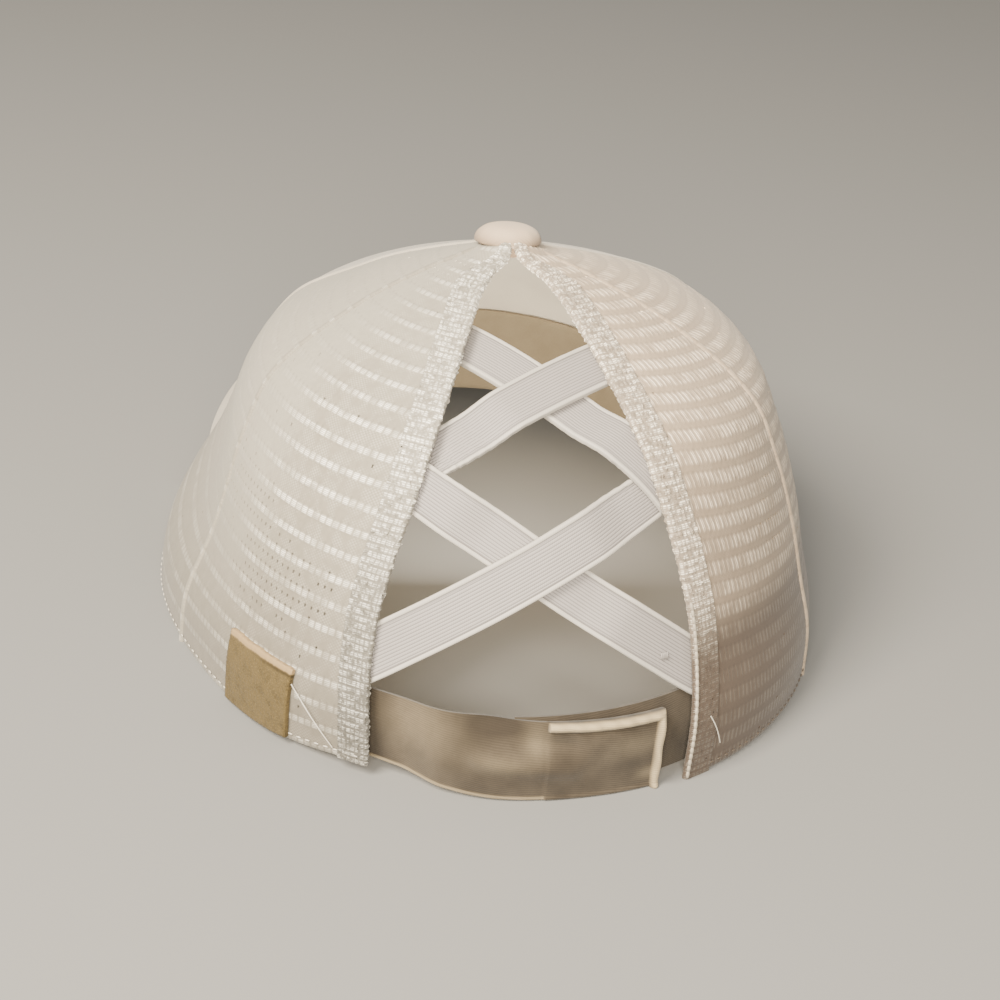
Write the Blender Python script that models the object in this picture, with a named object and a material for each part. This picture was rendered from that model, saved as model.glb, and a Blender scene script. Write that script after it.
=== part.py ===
"""Ponytail cap: twill front, net back, laced elastic opening and hook-and-loop closure.

The cap rests on the back of its hem and on the two sides of its peak. Metres, +Z up,
the peak points along -Y, the laced opening faces +Y and the wearer's left is +X. It is
worked out round the middle of the crown, then moved so that its length is centred.
Angles run round the crown from the middle of the back towards the wearer's left.
Climb is the share of the way up the crown's wall, from the hem (0) to the top (1).
"""
import math
from collections import namedtuple

import bmesh
import bpy
import numpy as np
from mathutils import Matrix, Vector, geometry

# Crown
RIM_HALF_LENGTH = 0.0975
RIM_HALF_WIDTH = 0.0840
CROWN_HEIGHT = 0.0996
CROWN_BACK_LEAN = 0.0023
CROWN_SIDE_LEAN = 0.0027
CROWN_TOP_TILT = math.radians(8.0)
TOP_HOLE_RADIUS = 0.0045
BACK_SEAM_LEFT = math.radians(73.0)
BACK_SEAM_RIGHT = math.radians(-65.0)
FRONT_SEAM = math.radians(122.0)
FRONT_MIDDLE = math.radians(180.0)
# Cloth thicknesses, and the clearance between neighbouring pieces
NET_WALL = 0.0012
TWILL_WALL = 0.0016
FOLD_WALL = 0.0020
FOLD_PROUD = 0.0005
SWEATBAND_WALL = 0.0015
ELASTIC_WALL = 0.0012
STRAP_WALL = 0.0012
LABEL_WALL = 0.0011
CLEARANCE = 0.0003
LAYER_CLEARANCE = 0.0007
# Slots cut through the net, in staggered rows
SLOT_HEIGHT = 0.0026
SLOT_PITCH = 0.0098
SLOT_TOP_CLIMB = 0.84
# Laced opening and its doubled edge
OPENING_HALF_WIDTH = 0.0370
FOLD_WIDTH = 0.0075
FOLD_SHARE_AT_TOP = 0.35
ELASTIC_WIDTH = 0.0120
ELASTIC_TUCK = 0.0050
ELASTIC_LEVEL = 0.0036
ELASTIC_EASE = 0.0060
# Hem, closure and label
SWEATBAND_HEIGHT = 0.0320
SWEATBAND_LIFT = 0.0006
STRAP_HEIGHT = 0.0200
HEM_RISE = 0.0032
HEM_LEVEL_CLIMB = 0.06
HEM_CURL = 1.3
STRAP_TUCK = 0.0160
STRAP_LEFT_RISE = 0.0004
STRAP_RIGHT_RISE = 0.0030
STRAP_END_RISE = 0.0006
STRAP_BEHIND_SHARE = 0.24
STRAP_EASE_SHARE = 0.14
TAB_SHORTFALL = 0.0052
STRAP_OVERLAP = 0.0420
LABEL_WIDTH = 0.0235
LABEL_HEIGHT = 0.0180
LABEL_LIFT = 0.0012
LABEL_ANGLE = math.radians(47.4)
# Peak
PEAK_LENGTH = 0.0700
PEAK_WALL = 0.0030
PEAK_CORNER = math.radians(120.0)
PEAK_SPLAY = math.radians(12.0)
PEAK_FRONT_LIFT = 0.0165
PEAK_CORNER_LIFT = 0.0060
PEAK_TIP_LIFT = 0.0135
RISE_START = math.radians(92.0)
PEAK_REST_SHARE = 0.985
# Button
BUTTON_RADIUS = 0.0083
BUTTON_HEIGHT = 0.0028
BUTTON_LIP = 0.0007
BUTTON_SEAT_SHARE = 0.93
BUTTON_FULLNESS = 0.7
SHANK_LENGTH = 0.0040
# How finely each piece is divided
BACK_COLUMNS = 9
SIDE_COLUMNS = 7
FRONT_COLUMNS = 9
HEM_ROWS = 5
NET_TOP_ROWS = 3
FRONT_ROWS = 12
FOLD_ROWS = 26
ELASTIC_COLUMNS = 22
SWEATBAND_COLUMNS = 46
STRAP_COLUMNS = 16
PEAK_COLUMNS = 28
BUTTON_SIDES = 24
BUTTON_STEPS = 6

ProfileRow = namedtuple("ProfileRow", "back_height back_reach front_height front_reach")
CROWN_PROFILE = (
    ProfileRow(0.00, 1.000, 0.00, 1.000),
    ProfileRow(0.14, 0.995, 0.14, 1.005),
    ProfileRow(0.28, 0.945, 0.28, 0.995),
    ProfileRow(0.42, 0.895, 0.42, 0.965),
    ProfileRow(0.57, 0.829, 0.55, 0.890),
    ProfileRow(0.72, 0.732, 0.66, 0.780),
    ProfileRow(0.85, 0.499, 0.78, 0.540),
    ProfileRow(0.94, 0.238, 0.90, 0.255),
    ProfileRow(1.00, 0.000, 1.00, 0.000),
)

# Where the hem lifts clear of the surface: middle and spread as angles
HemRow = namedtuple("HemRow", "name angle angle_spread")
HEM_RISES = (
    HemRow("corner left of the opening", 27, 13),
)

# Swellings and dents: middle and spread as angles and climbs, swell as a share of the reach
SwellRow = namedtuple("SwellRow", "name angle climb angle_spread climb_spread swell")
SWELLS = (
    SwellRow("left hem flare", 104, 0.05, 27, 0.12, 0.035),
    SwellRow("left hem beside the label", 62, 0.05, 20, 0.16, -0.024),
    SwellRow("left crease above the sweatband", 93, 0.25, 25, 0.15, -0.068),
    SwellRow("left shoulder", 125, 0.60, 45, 0.18, -0.100),
    SwellRow("right hem", -88, 0.10, 30, 0.12, -0.018),
    SwellRow("right shoulder", -125, 0.68, 45, 0.20, 0.090),
    SwellRow("right of the button", -120, 0.84, 40, 0.10, 0.072),
)

OpeningRow = namedtuple("OpeningRow", "climb half_gap")
OPENING_EDGE = (
    OpeningRow(0.00, 0.985),
    OpeningRow(0.14, 1.000),
    OpeningRow(0.24, 0.962),
    OpeningRow(0.32, 0.885),
    OpeningRow(0.40, 0.785),
    OpeningRow(0.48, 0.680),
    OpeningRow(0.60, 0.520),
    OpeningRow(0.74, 0.345),
    OpeningRow(0.82, 0.250),
    OpeningRow(0.90, 0.145),
    OpeningRow(0.96, 0.045),
    OpeningRow(1.00, 0.010),
)

# The climbs where each elastic meets the two edges, and its layer at its left end, where it
# crosses its partner, and at its right end. Partners stand in pairs.
ElasticRow = namedtuple("ElasticRow", "name left right left_layer crossing_layer right_layer")
ELASTICS = (
    ElasticRow("elastic_band_1", 0.720, 0.500, 2, 2, 1),
    ElasticRow("elastic_band_2", 0.502, 0.675, 2, 1, 1),
    ElasticRow("elastic_band_3", 0.443, 0.183, 1, 2, 1),
    ElasticRow("elastic_band_4", 0.189, 0.443, 1, 1, 2),
)

# Waves of the outer strap: place along it and up it, spread, and how far it stands out
WaveRow = namedtuple("WaveRow", "along up along_spread up_spread out")
STRAP_WAVES = (
    WaveRow(0.22, 0.70, 0.14, 0.45, 0.9),
    WaveRow(0.52, 0.25, 0.16, 0.40, 1.1),
    WaveRow(0.84, 0.90, 0.20, 0.35, 1.0),
)
STRAP_WAVE = 0.0012

PeakRow = namedtuple("PeakRow", "across length")
PEAK_OUTLINE = (
    PeakRow(0.00, 1.000),
    PeakRow(0.25, 0.985),
    PeakRow(0.50, 0.930),
    PeakRow(0.70, 0.800),
    PeakRow(0.85, 0.570),
    PeakRow(0.95, 0.270),
    PeakRow(1.00, 0.020),
)

Finish = namedtuple("Finish", "name colour roughness")
NET = Finish("net", (0.80, 0.77, 0.72, 1.0), 0.75)
TWILL = Finish("twill", (0.83, 0.80, 0.76, 1.0), 0.85)
ELASTIC = Finish("elastic", (0.78, 0.75, 0.78, 1.0), 0.60)
TAPE = Finish("tape", (0.62, 0.50, 0.42, 1.0), 0.85)
SUEDE = Finish("suede", (0.47, 0.34, 0.19, 1.0), 0.90)


def fair_curve(rows, steps_per_span=12):
    """Return points of a smooth curve through rows of two numbers each."""
    knots = [Vector((first, second, 0.0)) for first, second in rows]
    last = len(knots) - 1
    slopes = [(knots[min(i + 1, last)] - knots[max(i - 1, 0)]).normalized() for i in range(last + 1)]
    points = [knots[0]]
    for i in range(last):
        reach = (knots[i + 1] - knots[i]).length / 3.0
        span = geometry.interpolate_bezier(
            knots[i], knots[i] + slopes[i] * reach,
            knots[i + 1] - slopes[i + 1] * reach, knots[i + 1], steps_per_span + 1)
        points.extend(span[1:])
    return np.array([(point.x, point.y) for point in points])


def wall_profile(heights, reaches):
    """Return climbs, the wall's height and reach as shares at each, and the wall's length."""
    curve = fair_curve([(getattr(row, heights) * CROWN_HEIGHT, getattr(row, reaches) * RIM_HALF_LENGTH)
                        for row in CROWN_PROFILE])
    lengths = np.hypot(*np.diff(curve, axis=0).T)
    travelled = np.concatenate([[0.0], np.cumsum(lengths)])
    climbs = travelled / travelled[-1]
    return climbs, curve[:, 0] / CROWN_HEIGHT, curve[:, 1] / RIM_HALF_LENGTH, travelled[-1]


BACK_PROFILE = wall_profile("back_height", "back_reach")
FRONT_PROFILE = wall_profile("front_height", "front_reach")
WALL_LENGTH = BACK_PROFILE[3]
OPENING_CURVE = fair_curve(OPENING_EDGE)
PEAK_CURVE = fair_curve(PEAK_OUTLINE)
FOLD_DEPTH = FOLD_WALL - FOLD_PROUD
NEAR_LAYER = FOLD_DEPTH + CLEARANCE
FAR_LAYER = NEAR_LAYER + ELASTIC_WALL + LAYER_CLEARANCE
SWEATBAND_DEPTH = max(NET_WALL, TWILL_WALL) + CLEARANCE
STRAP_LAYER = max(FAR_LAYER, SWEATBAND_DEPTH + SWEATBAND_WALL + CLEARANCE)
HOLLOW_MIDDLE = CROWN_HEIGHT / 4.0
NUDGE = 1e-4


def smooth_step(value):
    """Ease from 0 to 1 as the value runs from 0 to 1."""
    value = np.clip(value, 0.0, 1.0)
    return value * value * (3.0 - 2.0 * value)


def rim_lift(angle):
    """Return how high the hem stands: flat behind, raised where the peak is sewn on."""
    turn = np.abs(np.arctan2(np.sin(angle), np.cos(angle)))
    ramp = np.clip((turn - RISE_START) / (PEAK_CORNER - RISE_START), 0.0, 1.0)
    arch = (np.sin(turn) / math.sin(PEAK_CORNER)) ** 2
    front = PEAK_FRONT_LIFT - (PEAK_FRONT_LIFT - PEAK_CORNER_LIFT) * arch
    return np.where(turn < PEAK_CORNER, PEAK_CORNER_LIFT * ramp ** HEM_CURL, front)


def hem_rise(angle):
    """Return how far the hem lifts clear of the surface on the back half."""
    turns = [(angle - math.radians(row.angle)) / math.radians(row.angle_spread) for row in HEM_RISES]
    return HEM_RISE * sum(np.exp(-turn ** 2) for turn in turns)


def side_lean(height):
    """Return how far the crown's top is pushed to the left at a height share."""
    return CROWN_SIDE_LEAN * height ** 4


def top_tilt(reach, angle, height):
    """Return how far the crown's top is raised behind the button and lowered before it."""
    return math.tan(CROWN_TOP_TILT) * RIM_HALF_LENGTH * reach * np.cos(angle) * height ** 8


def swelling(angle, climb):
    """Return the factor by which swellings and dents change the crown's reach."""
    total = 1.0
    for row in SWELLS:
        turn = angle - math.radians(row.angle)
        turn = np.arctan2(np.sin(turn), np.cos(turn)) / math.radians(row.angle_spread)
        rise = (climb - row.climb) / row.climb_spread
        total = total + row.swell * np.exp(-turn ** 2 - rise ** 2)
    return total


def crown_face(angle, climb):
    """Return points on the crown's outer face."""
    front = np.maximum(0.0, -np.cos(angle)) ** 2
    height = ((1.0 - front) * np.interp(climb, BACK_PROFILE[0], BACK_PROFILE[1])
              + front * np.interp(climb, FRONT_PROFILE[0], FRONT_PROFILE[1]))
    reach = ((1.0 - front) * np.interp(climb, BACK_PROFILE[0], BACK_PROFILE[2])
             + front * np.interp(climb, FRONT_PROFILE[0], FRONT_PROFILE[2]))
    reach = reach * swelling(angle, climb)
    x = RIM_HALF_WIDTH * reach * np.sin(angle) + side_lean(height)
    y = RIM_HALF_LENGTH * reach * np.cos(angle) + CROWN_BACK_LEAN * height
    z = (CROWN_HEIGHT * height + top_tilt(reach, angle, height)
         + rim_lift(angle) * (1.0 - height) + hem_rise(angle) * (1.0 - height) ** 4)
    return np.stack(np.broadcast_arrays(x, y, z), axis=-1)


def crown_out(angle, climb):
    """Return the outward direction of the crown's face, level at the hem."""
    around = crown_face(angle + NUDGE, climb) - crown_face(angle - NUDGE, climb)
    upward = (crown_face(angle, np.minimum(climb + NUDGE, 1.0))
              - crown_face(angle, np.maximum(climb - NUDGE, 0.0)))
    out = np.cross(upward, around)
    out = out / np.linalg.norm(out, axis=-1, keepdims=True)
    out[..., 2] *= smooth_step(climb / HEM_LEVEL_CLIMB)
    return out / np.linalg.norm(out, axis=-1, keepdims=True)


def crown_point(angle, climb, depth=0.0):
    """Return the point a given depth inside the crown's outer face."""
    return crown_face(angle, climb) - crown_out(angle, climb) * depth


def turn_for(length, angle, climb):
    """Return the angle that a length along the crown's face covers there."""
    step = crown_face(angle + NUDGE, climb) - crown_face(angle - NUDGE, climb)
    return length * 2.0 * NUDGE / np.linalg.norm(step)


def climb_for(height):
    """Return the climb at a length measured up the wall from the hem."""
    return height / WALL_LENGTH


def top_climb():
    """Return the climb where the panels end round the hole at the crown's top."""
    reach = BACK_PROFILE[2][::-1] * RIM_HALF_WIDTH
    return float(np.interp(TOP_HOLE_RADIUS, reach, BACK_PROFILE[0][::-1]))


TOP_CLIMB = top_climb()


def opening_angle(climb):
    """Return the angle of the opening's left edge; its right edge is the mirror of it."""
    half_gap = np.interp(climb, OPENING_CURVE[:, 0], OPENING_CURVE[:, 1]) * OPENING_HALF_WIDTH
    reach = np.interp(climb, BACK_PROFILE[0], BACK_PROFILE[2]) * RIM_HALF_WIDTH
    return math.asin(half_gap / reach)


def fold_width(climb):
    """Return the doubled edge's width, which narrows where the two meet at the top."""
    radius = np.interp(climb, BACK_PROFILE[0], BACK_PROFILE[2]) * RIM_HALF_WIDTH
    return min(FOLD_WIDTH, FOLD_SHARE_AT_TOP * radius)


def past_opening(side, climb, length):
    """Return the angle at a length beyond the opening's edge on side +1 (left) or -1."""
    edge = side * opening_angle(climb)
    return edge + side * turn_for(length, edge, climb)


def panel_start(side, climb):
    """Return the angle where a back panel begins beside the doubled edge."""
    return past_opening(side, climb, fold_width(climb) + CLEARANCE)


def seam_edge(seam, climb, inward):
    """Return a panel's edge angle, half the clearance from its seam."""
    return seam + inward * turn_for(CLEARANCE / 2.0, seam, climb)


def on_crown(point):
    """Return the angle and climb where the line from the hollow's middle meets the face."""
    x, y, z = point
    share = z / CROWN_HEIGHT
    angle = math.atan2((x - side_lean(share)) / RIM_HALF_WIDTH,
                       (y - CROWN_BACK_LEAN * share) / RIM_HALF_LENGTH)
    climbs = BACK_PROFILE[0]
    wall = crown_face(angle, climbs)
    slopes = np.arctan2(wall[:, 2] - HOLLOW_MIDDLE, np.hypot(wall[:, 0], wall[:, 1]))
    return angle, float(np.interp(math.atan2(z - HOLLOW_MIDDLE, math.hypot(x, y)), slopes, climbs))


def material(finish):
    """Return the finish's material, made once."""
    found = bpy.data.materials.get(finish.name)
    if found:
        return found
    made = bpy.data.materials.new(finish.name)
    made.use_nodes = True
    shader = made.node_tree.nodes["Principled BSDF"]
    shader.inputs["Base Color"].default_value = finish.colour
    shader.inputs["Roughness"].default_value = finish.roughness
    shader.inputs["Metallic"].default_value = 0.0
    made.diffuse_color = finish.colour
    return made


def add_object(name, mesh_maker, finish):
    """Turn a bmesh into a named object with smooth faces, crisp edges and faces outwards."""
    bmesh.ops.recalc_face_normals(mesh_maker, faces=mesh_maker.faces)
    if mesh_maker.calc_volume(signed=True) < 0.0:
        bmesh.ops.reverse_faces(mesh_maker, faces=mesh_maker.faces)
    mesh = bpy.data.meshes.new(name)
    mesh_maker.to_mesh(mesh)
    mesh_maker.free()
    mesh.shade_smooth()
    mesh.set_sharp_from_angle(angle=math.radians(50.0))
    mesh.materials.append(material(finish))
    thing = bpy.data.objects.new(name, mesh)
    bpy.context.collection.objects.link(thing)
    return thing


def cloth(name, columns, rows, place, thickness, finish, is_gap=None):
    """Make a cloth wall from a grid.

    place(u, v, depth) gives the point at shares u across and v up, at a depth below the
    outer face. is_gap(column, row) says which cells are cut right through.
    """
    maker = bmesh.new()
    bmesh.ops.create_grid(maker, x_segments=columns, y_segments=rows, size=0.5)
    if is_gap:
        cut = []
        for face in maker.faces:
            centre = face.calc_center_median()
            if is_gap(int((centre.x + 0.5) * columns), int((centre.y + 0.5) * rows)):
                cut.append(face)
        bmesh.ops.delete(maker, geom=cut, context="FACES")
    doubled = bmesh.ops.extrude_face_region(maker, geom=maker.faces[:])
    inner = {item for item in doubled["geom"] if isinstance(item, bmesh.types.BMVert)}
    for corner in maker.verts:
        depth = thickness if corner in inner else 0.0
        corner.co = place(corner.co.x + 0.5, corner.co.y + 0.5, depth)
    return add_object(name, maker, finish)


def mix(first, second, share):
    """Return the value a share of the way from first to second."""
    return first + (second - first) * share


def hem_climbs():
    """Return the climbs of the close rows where the sweatband lies behind a panel."""
    return [climb_for(SWEATBAND_HEIGHT) * step / HEM_ROWS for step in range(HEM_ROWS + 1)]


def up_to_top(climbs, rows):
    """Return the climbs carried on to the top in even rows."""
    return climbs + [mix(climbs[-1], TOP_CLIMB, (step + 1) / rows) for step in range(rows)]


def net_rows():
    """Return the climbs between the net's rows and which rows hold slots."""
    climbs = hem_climbs()
    slotted = [False] * (len(climbs) - 1)
    bar, slot = climb_for(SLOT_PITCH - SLOT_HEIGHT), climb_for(SLOT_HEIGHT)
    while climbs[-1] + bar + slot < SLOT_TOP_CLIMB:
        climbs.extend([climbs[-1] + bar, climbs[-1] + bar + slot])
        slotted.extend([False, True])
    return up_to_top(climbs, NET_TOP_ROWS), slotted + [False] * NET_TOP_ROWS


def net_panel(name, start, end, columns):
    """Make a net panel between two edges, each given as an angle for a climb."""
    climbs, slotted = net_rows()
    steps = np.linspace(0.0, 1.0, len(climbs))

    def place(u, v, depth):
        climb = float(np.interp(v, steps, climbs))
        return crown_point(mix(start(climb), end(climb), u), climb, depth)

    def is_gap(column, row):
        shift = sum(slotted[:row]) % 2
        return slotted[row] and 0 < column < columns - 1 and (column + shift) % 3 != 0

    cloth(name, columns, len(slotted), place, NET_WALL, NET, is_gap)


def crown_panels():
    """Make the six panels: two back and two side ones of net, two front ones of twill."""
    for side, word, seam in ((1, "left", BACK_SEAM_LEFT), (-1, "right", BACK_SEAM_RIGHT)):
        net_panel("back_panel_" + word,
                  lambda climb, side=side: panel_start(side, climb),
                  lambda climb, side=side, seam=seam: seam_edge(seam, climb, -side), BACK_COLUMNS)
        net_panel("side_panel_" + word,
                  lambda climb, side=side, seam=seam: seam_edge(seam, climb, side),
                  lambda climb, side=side: seam_edge(side * FRONT_SEAM, climb, -side), SIDE_COLUMNS)

        climbs = up_to_top(hem_climbs(), FRONT_ROWS)
        steps = np.linspace(0.0, 1.0, len(climbs))

        def place(u, v, depth, side=side, climbs=climbs, steps=steps):
            climb = float(np.interp(v, steps, climbs))
            edge = seam_edge(side * FRONT_SEAM, climb, side)
            return crown_point(mix(edge, seam_edge(side * FRONT_MIDDLE, climb, -side), u), climb, depth)

        cloth("front_panel_" + word, FRONT_COLUMNS, len(climbs) - 1, place, TWILL_WALL, TWILL)


def opening_folds():
    """Make the doubled edge that runs up each side of the opening."""
    for side, word in ((1, "left"), (-1, "right")):
        def place(u, v, depth, side=side):
            climb = v * TOP_CLIMB
            angle = past_opening(side, climb, fold_width(climb) * u)
            return crown_point(angle, climb, depth - FOLD_PROUD)

        cloth("opening_fold_" + word, 2, FOLD_ROWS, place, FOLD_WALL, NET)


def layer_depth(layer):
    """Return the depth of an elastic's outer face in layer 1 or 2."""
    return NEAR_LAYER if layer == 1 else FAR_LAYER


def edge_point(side, climb):
    """Return the point of the opening's edge at a climb on side +1 (left) or -1."""
    return crown_face(side * opening_angle(climb), climb)


def crossing_place(row, partner):
    """Return the share of an elastic's length where its partner crosses it, seen from the
    middle of the hollow, and half the length over which the two lie on each other."""
    middle = np.array((0.0, 0.0, HOLLOW_MIDDLE))
    start, end = edge_point(1, row.left) - middle, edge_point(-1, row.right) - middle
    plane = np.cross(start, end)
    other_plane = np.cross(edge_point(1, partner.left) - middle, edge_point(-1, partner.right) - middle)
    share = start.dot(other_plane) / (start - end).dot(other_plane)
    angle = Vector(plane).angle(Vector(other_plane))
    return share, ELASTIC_WIDTH / 2.0 / math.tan(angle / 2.0)


def elastic(row, partner):
    """Make one elastic, pulled straight across the opening and tucked under both edges."""
    ends = [edge_point(1, row.left), edge_point(-1, row.right)]
    step = climb_for(ELASTIC_WIDTH / 2.0)
    edge_runs = [edge_point(1, row.left + step) - ends[0], edge_point(-1, row.right + step) - ends[1]]
    pull = ends[1] - ends[0]
    length = np.linalg.norm(pull)
    along = pull / length
    tuck = ELASTIC_TUCK / length
    crossing, reach = crossing_place(row, partner)
    level, ease = (reach + ELASTIC_LEVEL) / length, ELASTIC_EASE / length
    left, middle_layer, right = (layer_depth(layer) for layer in
                                 (row.left_layer, row.crossing_layer, row.right_layer))

    def outer_depth(share):
        entered = float(smooth_step((share - crossing + level + ease) / ease))
        left_behind = float(smooth_step((share - crossing - level) / ease))
        return mix(mix(left, middle_layer, entered), right, left_behind)

    def place(u, v, depth):
        share = mix(-tuck, 1.0 + tuck, u)
        spot = on_crown(ends[0] + pull * share)
        middle, out = crown_face(*spot), crown_out(*spot)
        aside = np.cross(along, out)
        aside = -aside / np.linalg.norm(aside)
        slants = [run.dot(along) / run.dot(aside) for run in edge_runs]
        offset = (v - 0.5) * ELASTIC_WIDTH
        shift = offset * mix(slants[0], slants[1], u)
        point = middle + aside * offset + along * shift
        return crown_point(*on_crown(point), outer_depth(share + shift / length) + depth)

    cloth(row.name, ELASTIC_COLUMNS, 3, place, ELASTIC_WALL, ELASTIC)


def sweatband():
    """Make the band inside the hem, from one side of the opening round to the other."""
    def place(u, v, depth):
        climb = climb_for(SWEATBAND_LIFT + v * SWEATBAND_HEIGHT)
        start = panel_start(1, climb)
        end = panel_start(-1, climb) + 2.0 * math.pi
        return crown_point(mix(start, end, u), climb, SWEATBAND_DEPTH + depth)

    cloth("sweatband", SWEATBAND_COLUMNS, HEM_ROWS, place, SWEATBAND_WALL, TAPE)


def strap_place(start, end, low_start, low_end, depths):
    """Return a place function for a strap that runs round the back of the hem.

    start and end are lengths from the middle of the back, low_start and low_end the
    heights of its lower edge there, and depths(u, v) the depth of its outer face.
    """
    def place(u, v, depth):
        climb = climb_for(mix(low_start, low_end, u) + v * STRAP_HEIGHT)
        length = mix(start, end, u)
        return crown_point(turn_for(length, length / RIM_HALF_WIDTH, climb), climb, depths(u, v) + depth)

    return place


def closure_straps():
    """Make the outer strap with its tab end and the strap that it closes over."""
    edge = OPENING_HALF_WIDTH
    outer_layer = STRAP_LAYER - STRAP_WALL - LAYER_CLEARANCE

    def outer_depths(u, v):
        out = sum(wave.out * math.exp(-((u - wave.along) / wave.along_spread) ** 2
                                      - ((v - wave.up) / wave.up_spread) ** 2) for wave in STRAP_WAVES)
        free = float(smooth_step((u - STRAP_BEHIND_SHARE) / STRAP_EASE_SHARE))
        return mix(STRAP_LAYER, outer_layer, free) - STRAP_WAVE * out * free

    left = strap_place(edge + STRAP_TUCK, -(edge - TAB_SHORTFALL), STRAP_LEFT_RISE, 0.0, outer_depths)
    cloth("closure_strap_left", STRAP_COLUMNS, 3, left, STRAP_WALL, TAPE)
    right = strap_place(-(edge + STRAP_TUCK), -(edge - STRAP_OVERLAP), STRAP_RIGHT_RISE, STRAP_END_RISE,
                        lambda u, v: STRAP_LAYER)
    cloth("closure_strap_right", STRAP_COLUMNS // 2, 2, right, STRAP_WALL, TAPE)


def label():
    """Make the bare tag sewn on the left of the hem."""
    def place(u, v, depth):
        climb = climb_for(LABEL_LIFT + v * LABEL_HEIGHT)
        turn = turn_for(LABEL_WIDTH, LABEL_ANGLE, climb)
        return crown_point(LABEL_ANGLE + (u - 0.5) * turn, climb, depth - LABEL_WALL - CLEARANCE)

    cloth("label_tag", 4, 3, place, LABEL_WALL, SUEDE)


def peak_outer(across):
    """Return the peak's front edge at a share from -1 (right) to 1 (left), seen from above."""
    turn = mix(FRONT_MIDDLE, PEAK_CORNER, abs(across))
    root = crown_point(turn, 0.0, -CLEARANCE)
    length = np.interp(abs(across), PEAK_CURVE[:, 0], PEAK_CURVE[:, 1]) * PEAK_LENGTH
    heading = PEAK_SPLAY * abs(across)
    x = root[0] + length * math.sin(heading)
    return math.copysign(x, across), root[1] - length * math.cos(heading)


def peak():
    """Make the curved peak, which rests on its two sides."""
    rest_reach = max(peak_outer(share)[0] for share in np.linspace(0.0, 1.0, 41)) * PEAK_REST_SHARE

    def place(u, v, depth):
        across = mix(1.0, -1.0, u)
        turn = FRONT_MIDDLE - (FRONT_MIDDLE - PEAK_CORNER) * across
        root = crown_point(turn, 0.0, -CLEARANCE)
        x, y = peak_outer(across)
        tip_height = max(0.0, PEAK_TIP_LIFT * (1.0 - (x / rest_reach) ** 2))
        low = mix(float(rim_lift(turn)), tip_height, v)
        return mix(root[0], x, v), mix(root[1], y, v), low + PEAK_WALL - depth

    cloth("peak", PEAK_COLUMNS, 5, place, PEAK_WALL, TWILL)


def button():
    """Make the covered button with its shank in the hole at the top."""
    middle = crown_face(0.0, 1.0)
    seat = FOLD_PROUD + CLEARANCE
    reach = BACK_PROFILE[2][::-1] * max(RIM_HALF_LENGTH, RIM_HALF_WIDTH)
    heights = BACK_PROFILE[1][::-1] * CROWN_HEIGHT

    def under(radius):
        return float(np.interp(radius, reach, heights)) + seat

    shank_radius = TOP_HOLE_RADIUS - 2.0 * CLEARANCE
    seat_radius = BUTTON_RADIUS * BUTTON_SEAT_SHARE
    crest = under(0.0) + BUTTON_HEIGHT
    outline = [(0.0, under(shank_radius) - SHANK_LENGTH), (shank_radius, under(shank_radius) - SHANK_LENGTH),
               (shank_radius, under(shank_radius)), (seat_radius, under(seat_radius))]
    waist = under(BUTTON_RADIUS) + BUTTON_LIP
    for step in range(BUTTON_STEPS + 1):
        lift = step / BUTTON_STEPS * math.pi / 2.0
        radius = BUTTON_RADIUS * math.cos(lift) ** BUTTON_FULLNESS
        outline.append((radius, mix(waist, crest, math.sin(lift))))
    maker = bmesh.new()
    corners = [maker.verts.new((radius, 0.0, height)) for radius, height in outline]
    for first, second in zip(corners, corners[1:]):
        maker.edges.new((first, second))
    bmesh.ops.spin(maker, geom=maker.edges[:] + maker.verts[:], cent=(0, 0, 0), axis=(0, 0, 1),
                   angle=2.0 * math.pi, steps=BUTTON_SIDES, use_merge=True)
    bmesh.ops.remove_doubles(maker, verts=maker.verts, dist=1e-6)
    bmesh.ops.rotate(maker, verts=maker.verts, cent=(0.0, 0.0, middle[2]),
                     matrix=Matrix.Rotation(CROWN_TOP_TILT, 3, "X"))
    bmesh.ops.translate(maker, verts=maker.verts, vec=(middle[0], middle[1], 0.0))
    add_object("crown_button", maker, TAPE)


def length_middle():
    """Return the y half way between the peak's front edge and the strap's outer face."""
    front = peak_outer(0.0)[1]
    back = crown_point(0.0, 0.0, NEAR_LAYER)[1]
    return (front + back) / 2.0


def clear_scene():
    """Remove every object and its left-over data."""
    for thing in list(bpy.data.objects):
        bpy.data.objects.remove(thing, do_unlink=True)
    for mesh in list(bpy.data.meshes):
        bpy.data.meshes.remove(mesh)
    for left_over in list(bpy.data.materials):
        bpy.data.materials.remove(left_over)


def main():
    """Build the whole cap."""
    clear_scene()
    crown_panels()
    opening_folds()
    for first, second in (ELASTICS[:2], ELASTICS[2:]):
        elastic(first, second)
        elastic(second, first)
    sweatband()
    closure_straps()
    label()
    peak()
    button()
    for thing in bpy.data.objects:
        thing.location.y = -length_middle()


main()
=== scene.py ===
"""The looks of a ponytail cap: net, twill, laced elastics, closure, tag, peak and button.

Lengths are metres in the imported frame: +Z up, the peak along -Y, the wearer's left at +X.
Angles run round the crown from the middle of the back towards the wearer's left. Climb is
the share of the way up the crown's wall, from the hem (0) to the top (1). Depth is measured
inwards from the crown's outer face. Cloth patterns read a UV map in millimetres of cloth.
"""

import logging
import math
from collections import namedtuple
from dataclasses import dataclass, field, replace
from enum import Enum
from typing import Callable, Dict, Optional, Sequence, Tuple

import bmesh
import bpy
import numpy as np
from mathutils import Matrix, Vector, geometry


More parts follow.
